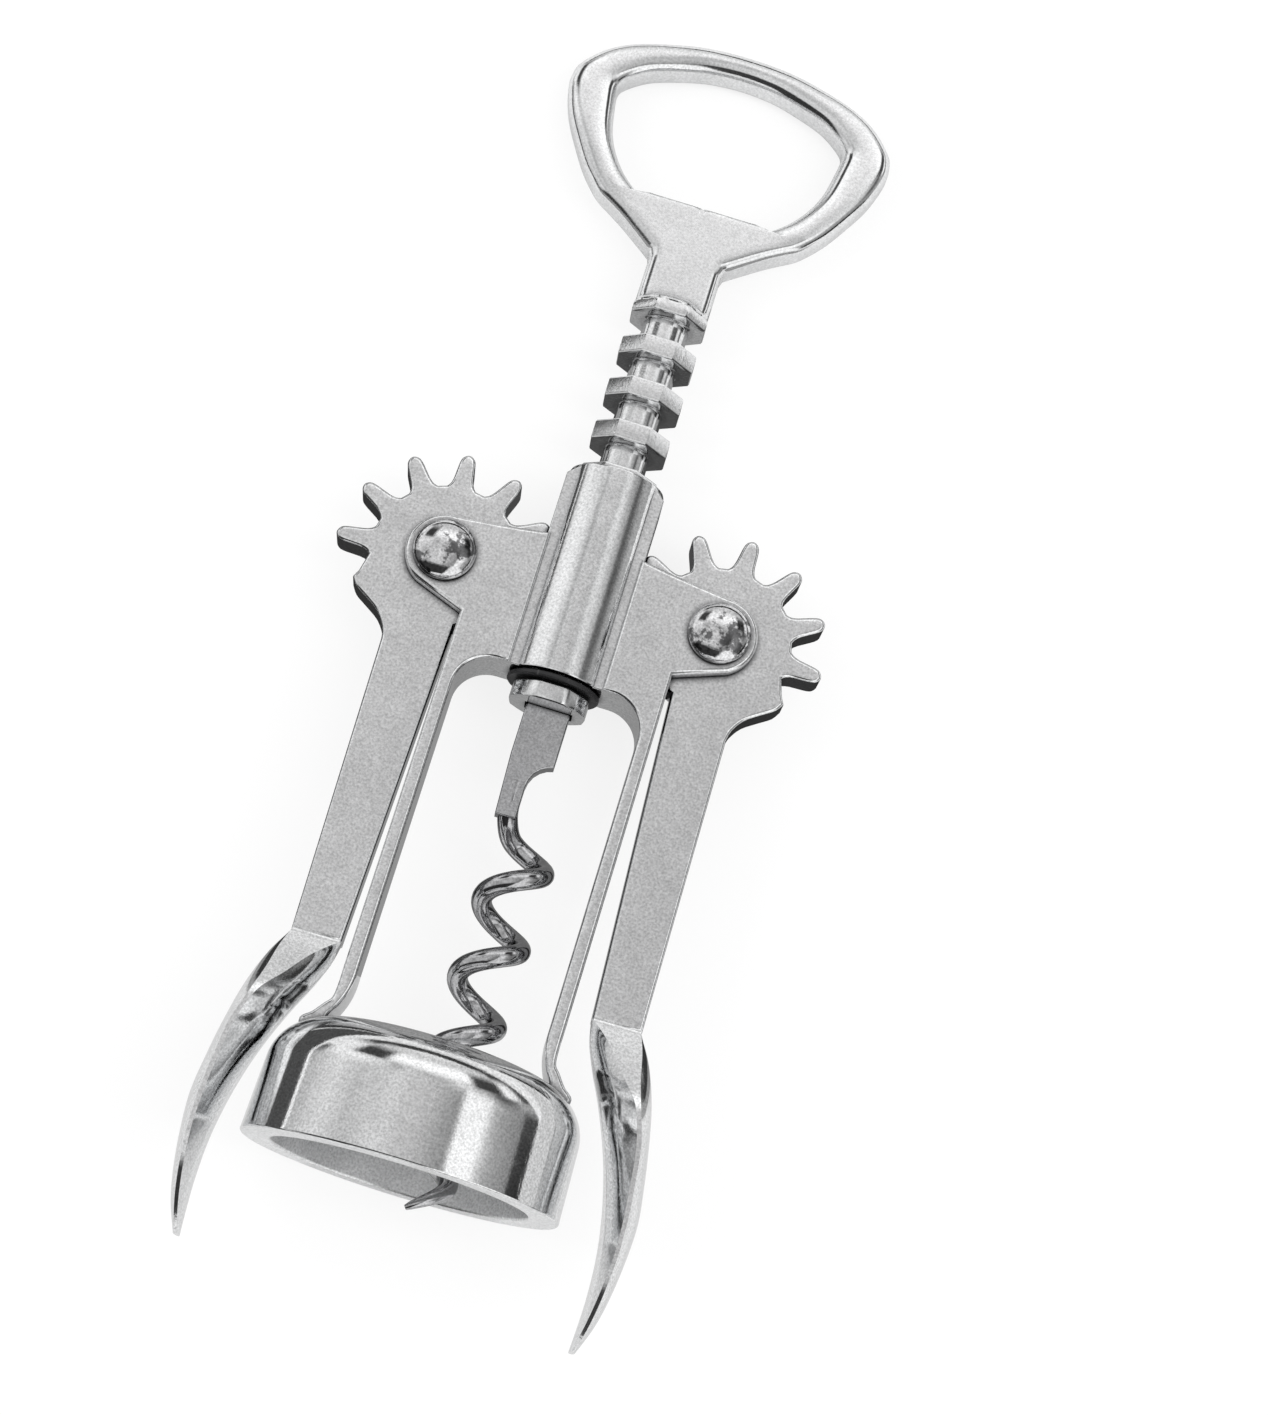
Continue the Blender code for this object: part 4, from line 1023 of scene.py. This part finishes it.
class CORKSCREW_OT_add_worm(bpy.types.Operator):
    """Builds the worm's wire with its flat tang"""

    bl_idname = "corkscrew.add_worm"
    bl_label = "Add Worm"

    def execute(self, context):
        s, colours = settings(context, "spindle")
        body = wire_tube("worm_wire", *worm_path(s), WIRE_SIDES)
        combine(body, [plate("tang", [TANG_OUTLINE], s.tang_half_thickness, TANG_EDGE)], "UNION")
        # The worm's steel, with wide painted shade along its rims and in its corners
        material = plated(
            "worm steel", colours.steel, colours.satin, colours.painted_dark_shade, 0.06, 0.3, 0.3,
            flats=False, edge_shade_amount=0.97, edge_shade_start=0.38,
        )
        place_piece(body, "spindle", ["worm"], material)
        return {"FINISHED"}


class CORKSCREW_OT_add_levers(bpy.types.Operator):
    """Builds the two levers, each with its gear, arm and wing"""

    bl_idname = "corkscrew.add_levers"
    bl_label = "Add Levers"

    def execute(self, context):
        s, colours = settings(context, "levers")
        material = plated("lever chrome", colours.polished, colours.satin, colours.painted_shade, 0.09, 0.30, 0.3)
        for side, label in SIDES:
            body = make_lever("lever_" + label, side, s)
            place_piece(body, label + "_arm", [label + "_lever"], material)
        return {"FINISHED"}


class CORKSCREW_OT_add_rivets(bpy.types.Operator):
    """Builds the domed rivets that the levers turn on"""

    bl_idname = "corkscrew.add_rivets"
    bl_label = "Add Rivets"

    def execute(self, context):
        s, colours = settings(context, "levers")
        # The rivets' chrome, with painted shade on their rims and in their corners, and dark blotches painted
        # on their domes as reflections
        material = plated(
            "rivet chrome", colours.rivet, colours.satin, colours.painted_dark_shade, 0.05, 0.20, 0.3,
            flats=False, edge_shade_amount=0.9, edge_shade_start=0.68, grain_amount=0.35, reach=0.0014,
            mottle_scale=330.0, reflection_blotches=0.80,
        )
        half = []
        for i in range(RIVET_STEPS + 1):
            angle = math.pi / 2 * max(i, RIVET_FIRST) / RIVET_STEPS
            rise = RIVET_SKIRT + (s.rivet_height - RIVET_SKIRT) * math.cos(angle)
            half.append((s.rivet_radius * math.sin(angle), s.rivet_seat + rise))
        half += [(s.rivet_radius - RIVET_DRAUGHT, s.rivet_seat), (s.shank_radius, s.rivet_seat)]
        profile = half + [(radius, -height) for radius, height in reversed(half)]
        for side, label in SIDES:
            body = turned("rivet_" + label, profile, ROUND_SIDES)
            lay_across(body, side * s.pivot_offset, s.pivot_height)
            place_piece(body, "frame", [label + "_rivet"], material, smooth=50.0)
        return {"FINISHED"}


class CORKSCREW_OT_add_washer(bpy.types.Operator):
    """Builds the black stop washer under the barrel"""

    bl_idname = "corkscrew.add_washer"
    bl_label = "Add Stop Washer"

    def execute(self, context):
        s, colours = settings(context, "spindle")
        low, high = s.washer_bottom, s.washer_bottom + s.washer_thickness
        inside = s.washer_radius - WASHER_EDGE
        outside = [(s.washer_radius, high - WASHER_EDGE), (s.washer_radius, low + WASHER_EDGE)]
        profile = [(s.washer_hole, high), (inside, high)] + outside + [(inside, low), (s.washer_hole, low)]
        body = turned("black_washer", profile, ROUND_SIDES, closed=True)
        material = blackened("washer fibre", colours.washer)
        place_piece(body, "washer", ["stop_washer"], material)
        return {"FINISHED"}


def mirror_only(obj, material):
    """Gives a card its glow and lets only the metal see it, and neither the camera nor the light."""
    obj.data.materials.append(material)
    for ray in ("camera", "diffuse", "transmission", "volume_scatter", "shadow"):
        setattr(obj, "visible_" + ray, False)


def glowing(name, level=None):
    """A card's even glow, or the tent's, which is painted on its points; the glow paints reflections into the
    metal.
    """
    material, nodes = new_material(name)
    if level is None:
        tint = nodes.add("ShaderNodeVertexColor", layer_name=TENT_LAYER).outputs["Color"]
    else:
        tint = (level, level, level, 1.0)
    nodes.surface("ShaderNodeEmission", {"Color": tint, "Strength": 1.0})
    return material


def sheet(name, corners):
    """A flat sheet from its corners in metres."""
    shape = bmesh.new()
    shape.faces.new([shape.verts.new(corner) for corner in corners])
    return new_piece(name, shape)


def lying(left, right, near, far, height):
    """The corners of a sheet that lies level at a height."""
    return ((left, near, height), (right, near, height), (right, far, height), (left, far, height))


def between(value, stops):
    """The level at a value, from a table of (value, level) in rising order."""
    before = stops[0]
    for after in stops:
        if value <= after[0]:
            run = after[0] - before[0]
            part = (value - before[0]) / run if run > 0.0 else 0.0
            return before[1] + (after[1] - before[1]) * part
        before = after
    return before[1]


def tent_cards(radius):
    """A half round glowing tent along the tool, whose level changes round it and along it; only the metal
    sees it, so it paints reflections.
    """
    shape = bmesh.new()
    tone = shape.verts.layers.float_color.new(TENT_LAYER)
    rows = []
    for z in TENT_PLACES:
        row = []
        for angle in TENT_ANGLES:
            level = between(z, [(place, between(angle, stops)) for place, stops in TENT_TONES])
            turn = math.radians(angle)
            vert = shape.verts.new(TO_ROW @ Vector((radius * math.sin(turn), -radius * math.cos(turn), z)))
            vert[tone] = (level, level, level, 1.0)
            row.append(vert)
        rows.append(row)
    for low, high in zip(rows, rows[1:]):
        for one, other, high_one, high_other in zip(low, low[1:], high, high[1:]):
            shape.faces.new((one, other, high_other, high_one))
    mirror_only(new_piece("tent", shape), glowing("glowing reflection tent"))


def seen_directly(nodes, straight, mirrored_level):
    """How white the camera's and the mirrored rays find the background; light rays give 0."""
    path = nodes.add("ShaderNodeLightPath")
    bent = nodes.math("MAXIMUM", path.outputs["Is Glossy Ray"], path.outputs["Is Transmission Ray"])
    bent_level = nodes.math("MULTIPLY", bent, mirrored_level)
    straight_level = nodes.math("MULTIPLY", path.outputs["Is Camera Ray"], straight)
    return nodes.math("MAXIMUM", bent_level, straight_level)


class CORKSCREW_OT_set_stage(bpy.types.Operator):
    """Sets the white floor, the cards, the lamps, the world and the camera"""

    bl_idname = "corkscrew.set_stage"
    bl_label = "Set Stage"

    def execute(self, context):
        studio = context.scene.corkscrew_studio
        self.add_floor(studio)
        self.add_cards(studio)
        self.add_lamps(context.scene)
        self.set_world(context.scene, studio)
        self.add_camera(context.scene)
        context.scene.view_settings.view_transform = "Standard"
        return {"FINISHED"}

    def add_floor(self, studio):
        half = studio.floor_size / 2
        floor = sheet("floor", lying(-half, half, -half, half, 0.0))
        material, nodes = new_material("white paper")
        paper = nodes.add("ShaderNodeBsdfDiffuse", {"Color": (*studio.floor_colour, 1.0)})
        path = nodes.add("ShaderNodeLightPath")
        strength = nodes.range(path.outputs["Is Camera Ray"], 0.0, 1.0, studio.mirror_white, 1.0)
        white = nodes.add("ShaderNodeEmission", {"Color": WHITE, "Strength": strength})
        amount = seen_directly(nodes, studio.floor_glow, studio.mirror_glow)
        nodes.surface("ShaderNodeMixShader", {0: amount, 1: paper.outputs[0], 2: white.outputs[0]})
        floor.data.materials.append(material)

    def add_cards(self, studio):
        tent_cards(studio.tent_radius / MILLIMETRE)
        cards = [(name, level, lying(*sides, height)) for name, level, sides, height in FLOOR_CARDS]
        for name, level, y, half, top in END_CARDS:
            cards.append((name, level, ((-half, y, 0.0), (half, y, 0.0), (half, y, top), (-half, y, top))))
        for name, level, corners in cards:
            mirror_only(sheet(name, corners), glowing(name, level))

    def add_lamps(self, scene):
        for name, place, width, run, power in LAMPS:
            data = bpy.data.lights.new(name, "AREA")
            data.shape = "RECTANGLE"
            data.size = width
            data.size_y = run
            data.energy = power
            lamp = bpy.data.objects.new(name, data)
            lamp.location = place
            lamp.visible_glossy = False
            lamp.rotation_euler = (-Vector(place)).to_track_quat("-Z", "Y").to_euler()
            scene.collection.objects.link(lamp)

    def set_world(self, scene, studio):
        world = bpy.data.worlds.new("white studio")
        world.use_nodes = True
        world.node_tree.nodes.clear()
        nodes = Nodes(world.node_tree)
        level = nodes.range(seen_directly(nodes, 1.0, 0.0), 0.0, 1.0, studio.world_level, 1.0)
        nodes.surface("ShaderNodeBackground", {"Color": WHITE, "Strength": level}, end="World")
        scene.world = world

    def add_camera(self, scene):
        data = bpy.data.cameras.new("photograph camera")
        data.lens = CAMERA_LENS
        data.sensor_width = 36.0
        data.clip_start = 0.01
        camera = bpy.data.objects.new("photograph camera", data)
        right = Vector(CAMERA_RIGHT).normalized()
        back = right.cross(Vector(CAMERA_UP)).normalized()
        turn = TO_ROW.to_3x3().normalized() @ Matrix((right, back.cross(right), back)).transposed()
        camera.matrix_world = Matrix.Translation(TO_ROW @ Vector(CAMERA_PLACE)) @ turn.to_4x4()
        scene.collection.objects.link(camera)
        scene.camera = camera


PROPERTY_GROUPS = (
    (CastingSizes, "corkscrew_casting"),
    (LeverSizes, "corkscrew_levers"),
    (SpindleSizes, "corkscrew_spindle"),
    (FinishColours, "corkscrew_colours"),
    (StudioSettings, "corkscrew_studio"),
)
OPERATORS = (
    CORKSCREW_OT_add_casting,
    CORKSCREW_OT_add_handle,
    CORKSCREW_OT_add_worm,
    CORKSCREW_OT_add_levers,
    CORKSCREW_OT_add_rivets,
    CORKSCREW_OT_add_washer,
    CORKSCREW_OT_set_stage,
)


class CORKSCREW_PT_panel(bpy.types.Panel):
    """Lists the corkscrew's pieces, sizes and colours"""

    bl_idname = "CORKSCREW_PT_panel"
    bl_label = "Corkscrew"
    bl_space_type = "VIEW_3D"
    bl_region_type = "UI"
    bl_category = "Corkscrew"

    def draw(self, context):
        layout = self.layout
        for operator in OPERATORS:
            layout.operator(operator.bl_idname)
        for group, attribute in PROPERTY_GROUPS:
            box = layout.box()
            box.label(text=group.__doc__.strip())
            values = getattr(context.scene, attribute)
            for name in group.__annotations__:
                box.prop(values, name)


def register():
    for group, attribute in PROPERTY_GROUPS:
        bpy.utils.register_class(group)
        setattr(bpy.types.Scene, attribute, bpy.props.PointerProperty(type=group))
    for operator in OPERATORS:
        bpy.utils.register_class(operator)
    bpy.utils.register_class(CORKSCREW_PT_panel)


def unregister():
    bpy.utils.unregister_class(CORKSCREW_PT_panel)
    for operator in reversed(OPERATORS):
        bpy.utils.unregister_class(operator)
    for group, attribute in reversed(PROPERTY_GROUPS):
        delattr(bpy.types.Scene, attribute)
        bpy.utils.unregister_class(group)


def main():
    register()
    bpy.ops.corkscrew.add_casting()
    bpy.ops.corkscrew.add_handle()
    bpy.ops.corkscrew.add_worm()
    bpy.ops.corkscrew.add_levers()
    bpy.ops.corkscrew.add_rivets()
    bpy.ops.corkscrew.add_washer()
    bpy.ops.corkscrew.set_stage()


if __name__ == "__main__":
    main()
